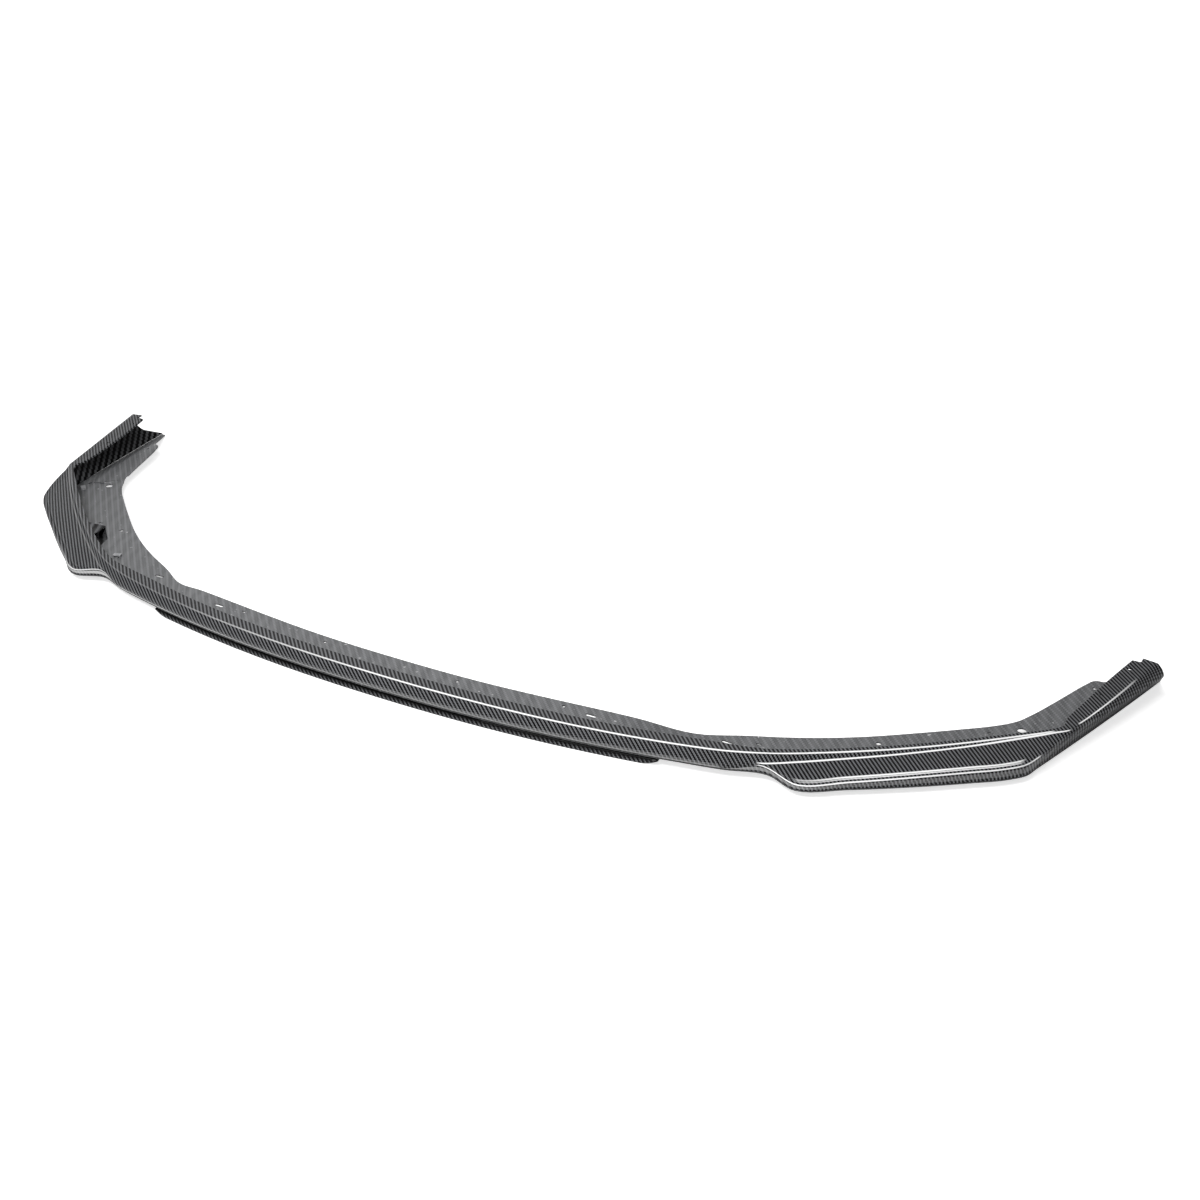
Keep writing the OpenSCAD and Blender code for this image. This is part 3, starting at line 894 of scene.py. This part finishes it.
@dataclass
class OuterSkin:
    """The moulding that shows: strip, crease, faces, stepped blades, wings and a flap on each side."""

    plan: Plan
    thickness: float = 2.0
    rivet_d: float = 5.0
    notch_d: float = 9.0
    notch_reach: float = 30.0
    notch_half_h: float = 15.0
    flap_t: float = 1.5
    flap_corner: float = 0.5

    def _crease(self) -> list[np.ndarray]:
        """Gives the crease.

        Returns:
            Its keys.
        """
        p, z = self.plan, self.plan.run_z()
        runs = ((0.06, -1), (0.14, 0), (0.25, 0), (0.45, 0), (0.65, 0), (0.8, 0), (0.88, 0), (0.95, 0))
        wings = ((0, -1), (0.1, 0), (0.32, 0), (0.52, 0), (0.77, 0), (1, 0))
        return [
            *p.nose_row(0, p.nose_z()),
            *[p.run(f, u, z[i]) for i, (f, u) in enumerate(runs)],
            *[p.wing(g, p.wing_flare * g + u, p.wing_z(g)) for g, u in wings],
        ]

    def _inner_edge(self, inset: float, dropped: bool) -> list[np.ndarray]:
        """Gives the strip's inner edge, or the foot of the edge turned down there.

        Args:
            inset: How far it lies inwards.
            dropped: Whether it is the foot.

        Returns:
            Its keys.
        """
        p, z = self.plan, self.plan.run_z()
        low = p.plate_z(p.glue) if dropped else p.nose_z()
        run_keys = ((0.03, -5, 0, 0), (0.12, -1, 1, 0), (0.24, 0, 2, 0), (0.45, 0, 3, 0),
                    (0.65, 0, 4, 0.4), (0.8, 1, 5, 2.7), (0.88, 2, 6, 11), (0.95, 2, 7, 22))
        wing_keys = ((0, 12), (0.1, 6), (0.32, 2.5), (0.52, 1.2), (0.77, 3), (1, 7.5))
        turned = p.turned_edge if dropped else 0
        return [
            *p.nose_row([-p.strip_w - inset + (3 if i == 5 else 0) for i in range(6)], low),
            *[p.run(f, u - p.run_strip_w - inset, p.tray_h + p.glue + up if dropped else z[i])
              for f, u, i, up in run_keys],
            *[p.wing(g, u - p.flange_w - inset, p.wing_z(g) - turned) for g, u in wing_keys],
        ]

    def _root(self) -> list[np.ndarray]:
        """Gives the blade's root, which on the nose is the top of its bulged face.

        Returns:
            Its keys.
        """
        p = self.plan
        keys = ((0.03, 5.5, 0.06), (0.14, 5, 0.11), (0.25, 5, 0.23), (0.45, 4.5, 0.4), (0.65, 4, 0.6),
                (0.8, 3, 0.77), (0.88, 2, 0.86), (0.95, 1.3, 0.94))
        return [
            *p.nose_row(5, p.face_z(0.66)),
            *[p.run(f, u, p.root_z(share)) for f, u, share in keys],
            *[p.rolled(g, 0.3, 0.8, 1, 0.3) for g in (0.01, 0.1, 0.32, 0.52, 0.77, 1.01)],
        ]

    def _step_top(self) -> list[np.ndarray]:
        """Returns the keys of the edge where the blade steps down."""
        p = self.plan
        return [
            *p.nose_row(p.bulge, p.face_z(0.48)),
            p.run(0.03, 6.2, p.root_z(0.02)),
            *p.blade_row(p.ledge_w + 1.3, 0.9 + p.ledge_drop),
            *p.corner_row(((0.825, 0.925, p.ledge_w + 2.3, 0.2), (0.89, 0.495, 0, 0.43), (0.966, 0.135, 0, 0.75))),
            *[p.rolled(g, 0.53, 1.2, 2, 2.5) for g in (0.095, 0.32, 0.53, 0.775, 1.015)],
        ]

    def _step_foot(self) -> list[np.ndarray]:
        """Returns the keys of the foot of that step."""
        p = self.plan
        return [
            *p.nose_row(p.bulge, p.face_z(0.3)),
            p.run(0.03, 6.6, p.root_z(-0.01)),
            *p.blade_row(p.ledge_w, 0.9),
            *p.corner_row(((0.82, 0.925, p.ledge_w, 0.12), (0.885, 0.57, 0, 0.36), (0.963, 0.19, 0, 0.67))),
            *[p.rolled(g, 0.8, 1.5, 3, 7.5) for g in (0.092, 0.32, 0.535, 0.78, 1.03)],
        ]

    def _outer(self) -> list[np.ndarray]:
        """Returns the keys of the blade's outer edge."""
        p = self.plan
        return [
            *p.nose_row(5, p.face_z(0.14)),
            p.run(0.026, 7, p.root_z(-0.04)),
            *p.blade_row(0, 0),
            *p.corner_row(((0.81, 0.925, 0, 0), (0.88, 0.655, 0, 0.28), (0.96, 0.237, 0, 0.61))),
            *[p.rolled(g, 1, 1.7, 4.5, 15.5) for g in (0.09, 0.32, 0.54, 0.785, 1.045)],
        ]

    def _flaps(self) -> list[Mesh]:
        """Makes the flap that each side has from the strip's edge down to the tray.

        Returns:
            Both flaps.
        """
        p = self.plan
        top = p.corner_h - self.flap_t - 0.5
        corners = [p.run(0.3, -p.run_strip_w, top), p.run(0.41, -p.run_strip_w, top),
                   p.run(0.485, -36, p.tray_h + p.glue)]
        turn = (np.arange(8) + 0.5) / 4 * math.pi
        ring = np.column_stack([np.cos(turn), np.sin(turn), np.zeros(8)]) * self.flap_corner
        body = [c + r + np.array([0, 0, up]) for c in corners for r in ring for up in (0, self.flap_t)]
        return [hull(flap) for flap in both_sides(np.array(body))]

    def build(self, finish: Material, inside: Material) -> Object:
        """Builds and dresses the skin.

        Args:
            finish: Its clear-coated twill.
            inside: The bare laminate of its hidden side.

        Returns:
            The skin.
        """
        p, outer, hem = self.plan, self._outer(), self.plan.lower_edge(0, 0)
        belly = [mix(a, b, 0.5) for a, b in zip(outer, hem)]
        belly[-1] = belly[-1] - np.array([0, p.end_hollow, 0])
        bulge, wall = [5] * 6, [5] * 6
        loft = Loft(
            rails=[
                Rail(self._inner_edge(0.3, True)),
                Rail(self._inner_edge(0, False), (1, 1, 1.2)),
                # The crease, root, step and outer edge get painted white highlights where the light would catch them,
                # most on the right half; on the left the step's foot gets painted shade instead
                Rail(self._crease(), (1.1, 1.2, 1.2),
                     (0.9, *[1] * 13, 0, 1, 1, 0.7, 0.25, 0), (0.9, 0.6, 0.3, 0.12, 0.1, 0.1, *[0.1] * 14)),
                Rail(self._root(), (*bulge, *[1.1] * 5, 1.5, 2, 2.4, 2.4, *wall[1:]),
                     (*[0] * 6, *[1] * 9, *[0] * 5), (*[0] * 6, *[0.15] * 9, *[0] * 5)),
                Rail(self._step_top(), (*bulge, 2, *[1.2] * 5, 2, 3, *wall),
                     (*[0] * 7, 0.4, 1, 1, 1, 1, 0.8, *[0] * 7), (*[0] * 7, *[0.05] * 6, *[0] * 7)),
                Rail(self._step_foot(), (*bulge, 2, *[0.9] * 5, 2, 3, *wall),
                     (*[0.1] * 6, 0, 0.3, 0.7, 0.8, 0.8, 0.8, 0.4, *[0] * 7),
                     (*[0.06] * 6, 0, *[-0.2] * 6, *[0] * 7)),
                Rail(outer, (*bulge, *[1.3] * 7, 2, *wall), (*[0.3] * 6, *[1] * 8, *[0] * 6),
                     (0.3, 0.35, 0.45, 0.6, 0.75, 0.85, 0.8, 0.8, *[0.12] * 5, *[0] * 7), breaks=(5,)),
                # The belly gets a painted reflection of the floor, a light band
                Rail(belly, (5, 5, 5), (*[0.36] * 6, 0.3, 0.2, *[0.12] * 6, *[0.06] * 6),
                     (0.4, 0.45, 0.6, 0.75, 0.9, 0.9, 0.7, 0.4, *[0.1] * 6, *[0] * 6)),
                # The hem gets painted shade, black, where the groove under the face lies in shade
                Rail(hem, resin=(-0.95, -0.9, -0.8)),
            ],
            thickness=self.thickness,
        )
        mesh = loft.mesh("skin", p.lip_d / 2, [finish, inside])
        # Holes near the flange's end and half way along it, then the notch in its end
        cutters = []
        for g, u in ((0.84, -11.5), (0.463, -15.5)):
            cutters += [hole(place, self.rivet_d) for place in both_sides(p.wing(g, u, p.wing_z(g)))]
        near, far = p.wing_top[0] - p.flange_w - 10, p.wing_top[0] - 7
        front = p.wing_top[1] - self.notch_d
        rear = front + self.notch_reach
        notch = np.array([(near, front), (far, front), (far, rear), (near, rear)])
        cutters += [prism(outline, p.wing_h - self.notch_half_h, p.wing_h + self.notch_half_h)
                    for outline in both_sides(notch)]
        mesh = combined(mesh, self._flaps(), "UNION")
        return settle(combined(mesh, cutters, "DIFFERENCE"), "outer_skin_laminate", "outer_skin")


@dataclass
class MountingTray:
    """The tray bonded under the skin, with its pockets, clip seats and holes."""

    plan: Plan
    screw_d: float = 7.0
    locate_d: float = 12.0
    rivet_d: float = 5.0
    slot_l: float = 16.0
    slot_w: float = 5.0
    clip_l: float = 9.0
    clip_w: float = 3.5
    pocket_depth: float = 9.0
    seat: tuple = (12.0, 8.0, 3.5)
    seat_t: float = 1.5

    def _rails(self) -> list[Rail]:
        """Lays the rails from the tray's rear edge under the strip to its edge under the skin.

        Returns:
            The rails.
        """
        p = self.plan

        def zones(plate: list, run_keys: tuple, wing_keys: tuple) -> list[np.ndarray]:
            """Joins the keys of the nose, the run and the wing."""
            return [
                *plate,
                *[p.run(f, u, p.tray_h) for f, u in run_keys],
                *[p.wing(g, u, p.tray_z(share)) for g, u, share in wing_keys],
            ]

        side, strip, plate = p.side_tray_d, p.run_strip_w, p.plate_z()
        rear = zones(
            p.nose_row([-p.nose_tray_d - k for k in (0, 0, 1, -1, 9, 27)], plate),
            tuple((f, k - side) for f, k in (
                (0.153, 0), (0.276, 4), (0.391, 5.5), (0.562, 4.5), (0.71, 4), (0.82, 3.7), (0.87, 1.8), (0.91, -2))),
            tuple((g, k - side, share) for g, k, share in (
                (0.2, 1, 0.25), (0.3, 4.5, 0.35), (0.428, 8, 0.48), (0.573, 12, 0.62), (0.731, 17, 0.8),
                (0.81, 21, 0.95))))
        under_strip = zones(
            p.nose_row([-p.strip_w - 4 - k for k in (0, 0, 0, 0, 0, -1)], plate),
            tuple((f, -strip - k) for f, k in (
                (0.05, 7), (0.13, 5), (0.25, 4), (0.45, 4), (0.65, 4), (0.8, 8), (0.88, 20), (0.94, 32))),
            ((0.03, -50, 0.1), (0.13, -58, 0.2), (0.29, -60, 0.35), (0.47, -59, 0.52), (0.68, -58, 0.78),
             (0.845, -58, 0.98)))
        top = zones(
            p.nose_row(-10, plate),
            ((0.055, -9), (0.13, -9), (0.25, -9), (0.45, -9), (0.65, -9), (0.8, -14), (0.88, -24),
             (0.945, -36)),
            ((0.02, -44, 0.1), (0.11, -49, 0.18), (0.3, -50, 0.35), (0.485, -50, 0.53), (0.7, -51, 0.8),
             (0.86, -53, 1)))
        bend = zones(
            p.nose_row(-9, p.edge_h),
            ((0.055, -6), (0.13, -6), (0.25, -6), (0.45, -6), (0.65, -6), (0.8, -10), (0.88, -18),
             (0.95, -29)),
            ((0.01, -36, 0.1), (0.09, -38, 0.17), (0.31, -38, 0.36), (0.5, -39, 0.55), (0.72, -41, 0.82),
             (0.865, -47, 1)))
        # Adhesive fills the bond, so that the tray's edge reaches the skin's hem and no floor shows between
        flat = p.lower_edge(6, p.glue)
        slope = [mix(a, b, 0.5) for a, b in zip(bend, flat)]
        wide = (3, 3, 3)
        # The tray's last rail gets painted shade, black along its edge under the skin
        return [Rail(rear), Rail(under_strip, wide), Rail(top, wide), Rail(bend, wide), Rail(slope, wide),
                Rail(flat, wide), Rail(p.lower_edge(0, 0.02), resin=(-0.9, -0.9, -0.9))]

    def _pocket(self) -> np.ndarray:
        """Returns the outline of the pocket sunk into the tray under the flap, on the right."""
        places = ((0.31, -15), (0.37, -32), (0.477, -36), (0.455, -15))
        return np.array([self.plan.run(f, u, 0)[:2] for f, u in places])

    def _seat(self, place: np.ndarray, degrees: float, side: Side) -> list[tuple]:
        """Lays out a clip seat.

        Args:
            place: The middle of its foot, on the right.
            degrees: How far it is turned.
            side: The side that it is for.

        Returns:
            Outline, foot and top of its block and of the way under it.
        """
        length, width, height = self.seat
        a = math.radians(degrees)
        turn = np.array([[math.cos(a), -math.sin(a)], [math.sin(a), math.cos(a)]])
        corners = np.array([(-1, -1), (1, -1), (1, 1), (-1, 1)]) / 2
        found = []
        for span, low, high in (((length, width), -self.seat_t, height),
                                ((length - 2 * self.seat_t, 2 * width), 0.0, height - self.seat_t)):
            outline = (corners * span) @ turn.T + place[:2]
            found.append((mirrored(outline, side), place[2] + low, place[2] + high))
        return found

    def _cutters(self) -> list[Mesh]:
        """Makes the cutters of the tray's holes and slots.

        Returns:
            The cutters, in pairs but for two clip slots that only the right side has.
        """
        p = self.plan
        pairs = [
            (p.run(0.898, -60, p.tray_h), self.locate_d, 0),
            (p.run(0.43, -58, p.tray_h), self.screw_d, 0),
            (p.wing(0.76, -49, p.tray_z(0.85)), self.rivet_d, 0),
            (p.nose(0.21, -41, p.plate_h), self.rivet_d, 0),
            (p.nose(0.51, -44, p.plate_h), self.rivet_d, 0),
            (p.nose(0.59, -35, p.plate_h), self.slot_w, self.slot_l),
            (p.nose(0.922, -60.5, p.tray_h), self.slot_w, self.slot_l),
            (p.run(0.531, -32, p.tray_h), self.clip_w, self.clip_l),
        ]
        cutters = [hole(q, d, l) for place, d, l in pairs for q in both_sides(place)]
        alone = (p.run(0.062, -66, p.tray_h), p.run(0.795, -61.4, p.tray_h))
        return cutters + [hole(q, self.clip_w, self.clip_l) for q in alone]

    def build(self, finish: Material, dark: Material, pale: Material) -> Object:
        """Builds and dresses the tray.

        Args:
            finish: Its satin twill.
            dark: The bare laminate, almost black, in its pockets and under its clip seats as painted shade.
            pale: The resin-rich cloth of its clip seats.

        Returns:
            The tray.
        """
        p, pocket = self.plan, self._pocket()
        bottom = p.tray_h - self.pocket_depth
        mesh = Loft(rails=self._rails(), thickness=p.tray_t).mesh("tray", p.lip_d / 2, [finish, finish, dark, pale])
        blocks, ways = [], self._cutters()
        for side in Side:
            block = mirrored(grown(pocket, p.tray_t), side)
            blocks.append(prism(block, bottom - p.tray_t, p.tray_h - p.tray_t / 2))
            # The pocket's inside and the hollow under each clip seat take the almost black laminate as painted shade
            ways.append(prism(mirrored(pocket, side), bottom, p.tray_h + p.tray_t, 2))
            for place, turn in ((p.run(0.195, -32.5, p.tray_h), -22), (p.run(0.905, -18, p.tray_h), 38)):
                block, way = self._seat(place, turn, side)
                blocks.append(prism(*block, 3))
                ways.append(prism(*way, 2))
        mesh = combined(combined(mesh, blocks, "UNION"), ways, "DIFFERENCE")
        return settle(mesh, "mounting_tray_laminate", "mounting_tray")


@dataclass
class NoseUnderlip:
    """The lip under the nose, one section drawn along the nose line whose ends run out."""

    plan: Plan
    half_length: float = 415.0
    runout: float = 24.0
    runout_rise: float = 0.59
    runout_power: float = 1.9
    flange: float = 30.0
    thickness: float = 2.0
    radius: float = 0.7
    path_points: int = 161
    # Shares of the lip's top where the painted shade begins and where it is full
    painted_shade_from: float = 0.25
    painted_shade_full: float = 0.72

    @property
    def top(self) -> float:
        """Height of the lip's top."""
        return self.plan.edge_h - self.plan.tray_t - 2 * self.plan.glue

    def _profile(self) -> Object:
        """Makes the section as a closed outline, X out of the nose and Y down.

        Returns:
            An object of edges alone.
        """
        h = self.top
        outer = np.array([(-12, h), (-4, h), (-1, h - 3.4), (1, 4.5), (1, 2), (-1, 0), (-self.flange, 0)], float)
        out = normals(np.diff(outer, axis=0))
        inner = mitred(outer, np.vstack([out[:1], out]), np.vstack([out, out[-1:]]), self.thickness)
        loop = np.vstack([outer, inner[::-1]])
        loop = np.column_stack([loop[:, 0], -loop[:, 1], np.zeros(len(loop))])[None]
        points = rounded(loop, np.full((1, loop.shape[1]), self.radius))[0]
        mesh = bpy.data.meshes.new("underlip_section")
        count = len(points)
        mesh.from_pydata((points * MM).tolist(), [(i, (i + 1) % count) for i in range(count)], [])
        return placed("underlip_section", mesh)

    def _tree(self, finish: Material) -> tuple[NodeTree, dict[str, float]]:
        """Makes the node tree that draws the section along the nose line.

        Args:
            finish: The material that the tree sets.

        Returns:
            The tree and the sizes for its named inputs, in metres or as plain numbers.
        """
        tree = bpy.data.node_groups.new("lip_along_nose", "GeometryNodeTree")
        tree.interface.new_socket("Geometry", in_out="INPUT", socket_type="NodeSocketGeometry")
        p = self.plan
        sizes = {"Half length": self.half_length * MM, "Run-out": self.runout * MM, "Nose": p.nose_y * MM,
                 "Corner back": p.corner_back * MM, "Corner half width": p.corner_x * MM,
                 "Power": p.nose_power, "Top": self.top * MM}
        for name in sizes:
            tree.interface.new_socket(name, in_out="INPUT", socket_type="NodeSocketFloat")
        tree.interface.new_socket("Geometry", in_out="OUTPUT", socket_type="NodeSocketGeometry")
        add, step = partial(add_node, tree), partial(add_node, tree, "ShaderNodeMath")
        given = add("NodeGroupInput").outputs
        left = add("ShaderNodeCombineXYZ", (step((given["Half length"], -1.0), operation="MULTIPLY"),))
        right = add("ShaderNodeCombineXYZ", (given["Half length"],))
        line = add("GeometryNodeCurvePrimitiveLine", {"Start": left, "End": right})
        fine = add("GeometryNodeResampleCurve", {"Curve": line, "Count": self.path_points})
        x, y, z = add("ShaderNodeSeparateXYZ", (add("GeometryNodeInputPosition"),)).outputs
        away = step((x,), operation="ABSOLUTE")
        share = step((away, given["Corner half width"]), operation="DIVIDE")
        back = step((share, given["Power"]), operation="POWER")
        sweep = step((given["Corner back"], back), operation="MULTIPLY")
        bent = add("ShaderNodeCombineXYZ", (x, step((given["Nose"], sweep), operation="ADD")))
        path = add("GeometryNodeSetPosition", {"Geometry": fine, "Position": bent})
        level = add("GeometryNodeSetCurveNormal", {"Curve": path}, mode="Z_UP")
        section = add("GeometryNodeMeshToCurve", {"Mesh": given["Geometry"]})
        drawn = add("GeometryNodeCurveToMesh", {"Curve": level, "Profile Curve": section, "Fill Caps": True})
        # Towards each end the section shrinks up to its own top
        start = step((given["Half length"], given["Run-out"]), operation="SUBTRACT")
        over = step((step((away, start), operation="SUBTRACT"), 0.0), operation="MAXIMUM")
        gone = step((step((over, given["Run-out"]), operation="DIVIDE"), self.runout_power), operation="POWER")
        kept = step((1.0, step((gone, self.runout_rise), operation="MULTIPLY")), operation="SUBTRACT")
        below = step((given["Top"], z), operation="SUBTRACT")
        fall = step((below, kept), operation="MULTIPLY")
        drop = add("ShaderNodeCombineXYZ", (x, y, step((given["Top"], fall), operation="SUBTRACT")))
        shaped = add("GeometryNodeSetPosition", {"Geometry": drawn, "Position": drop})
        # Shade is painted black over the upper part of the lip, where it meets the nose in shade
        high = add("ShaderNodeMapRange", {0: z, 1: self.painted_shade_from * self.top * MM,
                                          2: self.painted_shade_full * self.top * MM, 4: -1.0})
        painted_shade = add("GeometryNodeStoreNamedAttribute", {"Geometry": shaped, "Name": "resin", "Value": high},
                     data_type="FLOAT", domain="POINT")
        smooth = add("GeometryNodeSetShadeSmooth", {"Geometry": painted_shade})
        real = add("GeometryNodeRealizeInstances", {"Geometry": smooth})
        dressed = add("GeometryNodeSetMaterial", {"Geometry": real, "Material": finish})
        add("NodeGroupOutput", (dressed,))
        return tree, sizes

    def build(self, finish: Material) -> Object:
        """Builds and dresses the lip under the nose.

        Args:
            finish: Its twill.

        Returns:
            The lip.
        """
        section = self._profile()
        tree, sizes = self._tree(finish)
        modifier = section.modifiers.new("along_nose", "NODES")
        modifier.node_group = tree
        sockets = {s.name: s.identifier for s in tree.interface.items_tree if s.in_out == "INPUT"}
        for name, value in sizes.items():
            modifier[sockets[name]] = value
        evaluated = section.evaluated_get(bpy.context.evaluated_depsgraph_get())
        mesh = bpy.data.meshes.new_from_object(evaluated)
        bpy.data.objects.remove(section)
        with edited(mesh) as bm:
            bmesh.ops.remove_doubles(bm, verts=bm.verts, dist=1e-6)
            bmesh.ops.recalc_face_normals(bm, faces=bm.faces)
        return settle(mesh, "nose_underlip_laminate", "nose_underlip")


@dataclass
class Studio:
    """Plain white floor, soft light and the camera at the photograph's angle."""

    camera_at: tuple = (1.36643, -2.02447, 1.22419)
    forward: tuple = (-0.45209, 0.77469, -0.44213)
    upward: tuple = (-0.22712, 0.37936, 0.89694)
    lens_mm: float = 56.25
    floor_m: float = 60.0
    paper_glow: float = 0.7
    paper_reach: tuple = (1.1, 2.4)
    wall_way: tuple = (-0.618, 0.663, 0.42)
    wall_edge: tuple = (0.89, 0.985)
    wall_light: tuple = (0.14, 1.1)

    def camera(self) -> None:
        """Makes the camera."""
        data = bpy.data.cameras.new("camera")
        data.sensor_width = 36.0
        data.lens = self.lens_mm
        data.clip_end = 100.0
        camera = placed("camera", data)
        back = -Vector(self.forward).normalized()
        side = Vector(self.upward).cross(back).normalized()
        turn = Matrix((side, back.cross(side), back)).transposed().to_4x4()
        camera.matrix_world = Matrix.Translation(self.camera_at) @ turn
        bpy.context.scene.camera = camera

    def floor(self) -> None:
        """Makes the floor of white paper, which shows pure white but for the part's shadow."""
        mesh = bpy.data.meshes.new("floor")
        r = self.floor_m / 2
        mesh.from_pydata([(-r, -r, 0), (r, -r, 0), (r, r, 0), (-r, r, 0)], [], [(0, 1, 2, 3)])
        floor = placed("floor", mesh)
        # Uncoated paper is matt and almost white, with a mottle too faint to see as a pattern
        material = bpy.data.materials.new("White paper")
        add = partial(add_node, cleared_tree(material))
        place = add("ShaderNodeTexCoord").outputs["Object"]
        fibre = add("ShaderNodeTexNoise", {"Vector": place, "Scale": 400.0})
        tone = add("ShaderNodeMix", {0: fibre, 6: linear_colour("#f2f2f2"), 7: linear_colour("#f6f6f6")},
                   data_type="RGBA").outputs[2]
        # The camera sees the paper as white as a print's own white, with a faint shadow
        paper = add("ShaderNodeBsdfDiffuse", {"Color": tone})
        ray = add("ShaderNodeLightPath").outputs["Is Camera Ray"]
        far = add("ShaderNodeVectorMath", (place,), operation="LENGTH").outputs["Value"]
        level = add("ShaderNodeMapRange", (far, *self.paper_reach, self.paper_glow, 1.0))
        glow = add("ShaderNodeEmission", {"Strength": level})
        both = add("ShaderNodeAddShader", (paper, glow))
        seen = add("ShaderNodeMixShader", (ray, paper, both))
        add("ShaderNodeOutputMaterial", {"Surface": seen})
        mesh.materials.append(material)

    def world(self) -> None:
        """Makes the studio's surround, a white wall behind the part and a dark room in front."""
        world = bpy.data.worlds.new("studio")
        bpy.context.scene.world = world
        add = partial(add_node, cleared_tree(world))
        way = add("ShaderNodeTexCoord").outputs["Generated"]
        near = add("ShaderNodeVectorMath", (way, self.wall_way), operation="DOT_PRODUCT").outputs["Value"]
        wall = add("ShaderNodeMapRange", (near, *self.wall_edge, *self.wall_light), interpolation_type="SMOOTHSTEP")
        ray = add("ShaderNodeLightPath").outputs["Is Camera Ray"]
        strength = add("ShaderNodeMix", {0: ray, 2: wall, 3: 1.0})
        glow = add("ShaderNodeBackground", {"Color": (1, 1, 1, 1), "Strength": strength})
        add("ShaderNodeOutputWorld", {"Surface": glow})

    def soft_box(self, name: str, place: tuple, aim: tuple, size: tuple, power: float) -> None:
        """Makes one soft box.

        Args:
            name: Its name.
            place: Its centre in metres.
            aim: The point that it faces.
            size: Its width and height in metres.
            power: Its power in watts.
        """
        data = bpy.data.lights.new(name, "AREA")
        data.shape = "RECTANGLE"
        data.size, data.size_y = size
        data.energy = power
        lamp = placed(name, data)
        lamp.location = place
        lamp.rotation_euler = (Vector(aim) - Vector(place)).to_track_quat("-Z", "Y").to_euler()

    def build(self) -> None:
        """Sets the whole studio up."""
        self.camera()
        self.floor()
        self.world()
        self.soft_box("front_box", (0.1, -1.7, 2.4), (0.0, 0.0, 0.0), (2.4, 1.2), 92.0)
        bpy.context.scene.view_settings.view_transform = "Standard"


def corners(lo: Vector, hi: Vector) -> list[list[float]]:
    """Returns a box as plain lists."""
    return [list(lo), list(hi)]


def main() -> None:
    """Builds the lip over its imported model, then the studio round it."""
    logging.basicConfig(level=logging.INFO, format="%(message)s")
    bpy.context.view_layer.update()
    plan = Plan()
    # Laid up in a polished mould and lacquered: grey stripes where the warp lies on top, black between them
    # and a thin, sharp gloss over both
    lacquered = CarbonTwill("Clear-coated carbon twill", tow_mm=1.75, warp="#828386", weft="#040405", gap="#020203",
                            roughness=0.4, coat=0.16, coat_roughness=0.04, specular=0.05, depth=0.9)
    # Peeled off its film unlacquered: a pale, dull grey with soft hazy bands and light scrapes, its weave drawn
    # twice as coarse as it is so that it shows
    satin = CarbonTwill("Satin carbon twill", tow_mm=3.2, warp="#808183", weft="#696a6c", gap="#2c2d2e",
                        haze=0.5, marks=0.7, depth=0.8)
    # The side away from the mould: dull and almost black, with faint coarse stripes
    bare = CarbonTwill("Bare carbon laminate", tow_mm=4.0, warp="#6a6b6d", weft="#040405", gap="#020202",
                       specular=0.1, lean=-0.7)
    # Flooded with resin at the clip seats: the palest grey of the part, with hardly any weave
    seat = CarbonTwill("Resin-rich carbon twill", tow_mm=3.2, warp="#a9aaac", weft="#9a9b9d", gap="#77787a")
    skin_finish = lacquered.material()
    laminate = bare.material()
    OuterSkin(plan).build(skin_finish, laminate)
    # The tray's pockets and seat hollows get the almost black laminate as painted shade
    MountingTray(plan).build(satin.material(), laminate, seat.material())
    NoseUnderlip(plan).build(skin_finish)
    Studio().build()


if __name__ == "__main__":
    main()
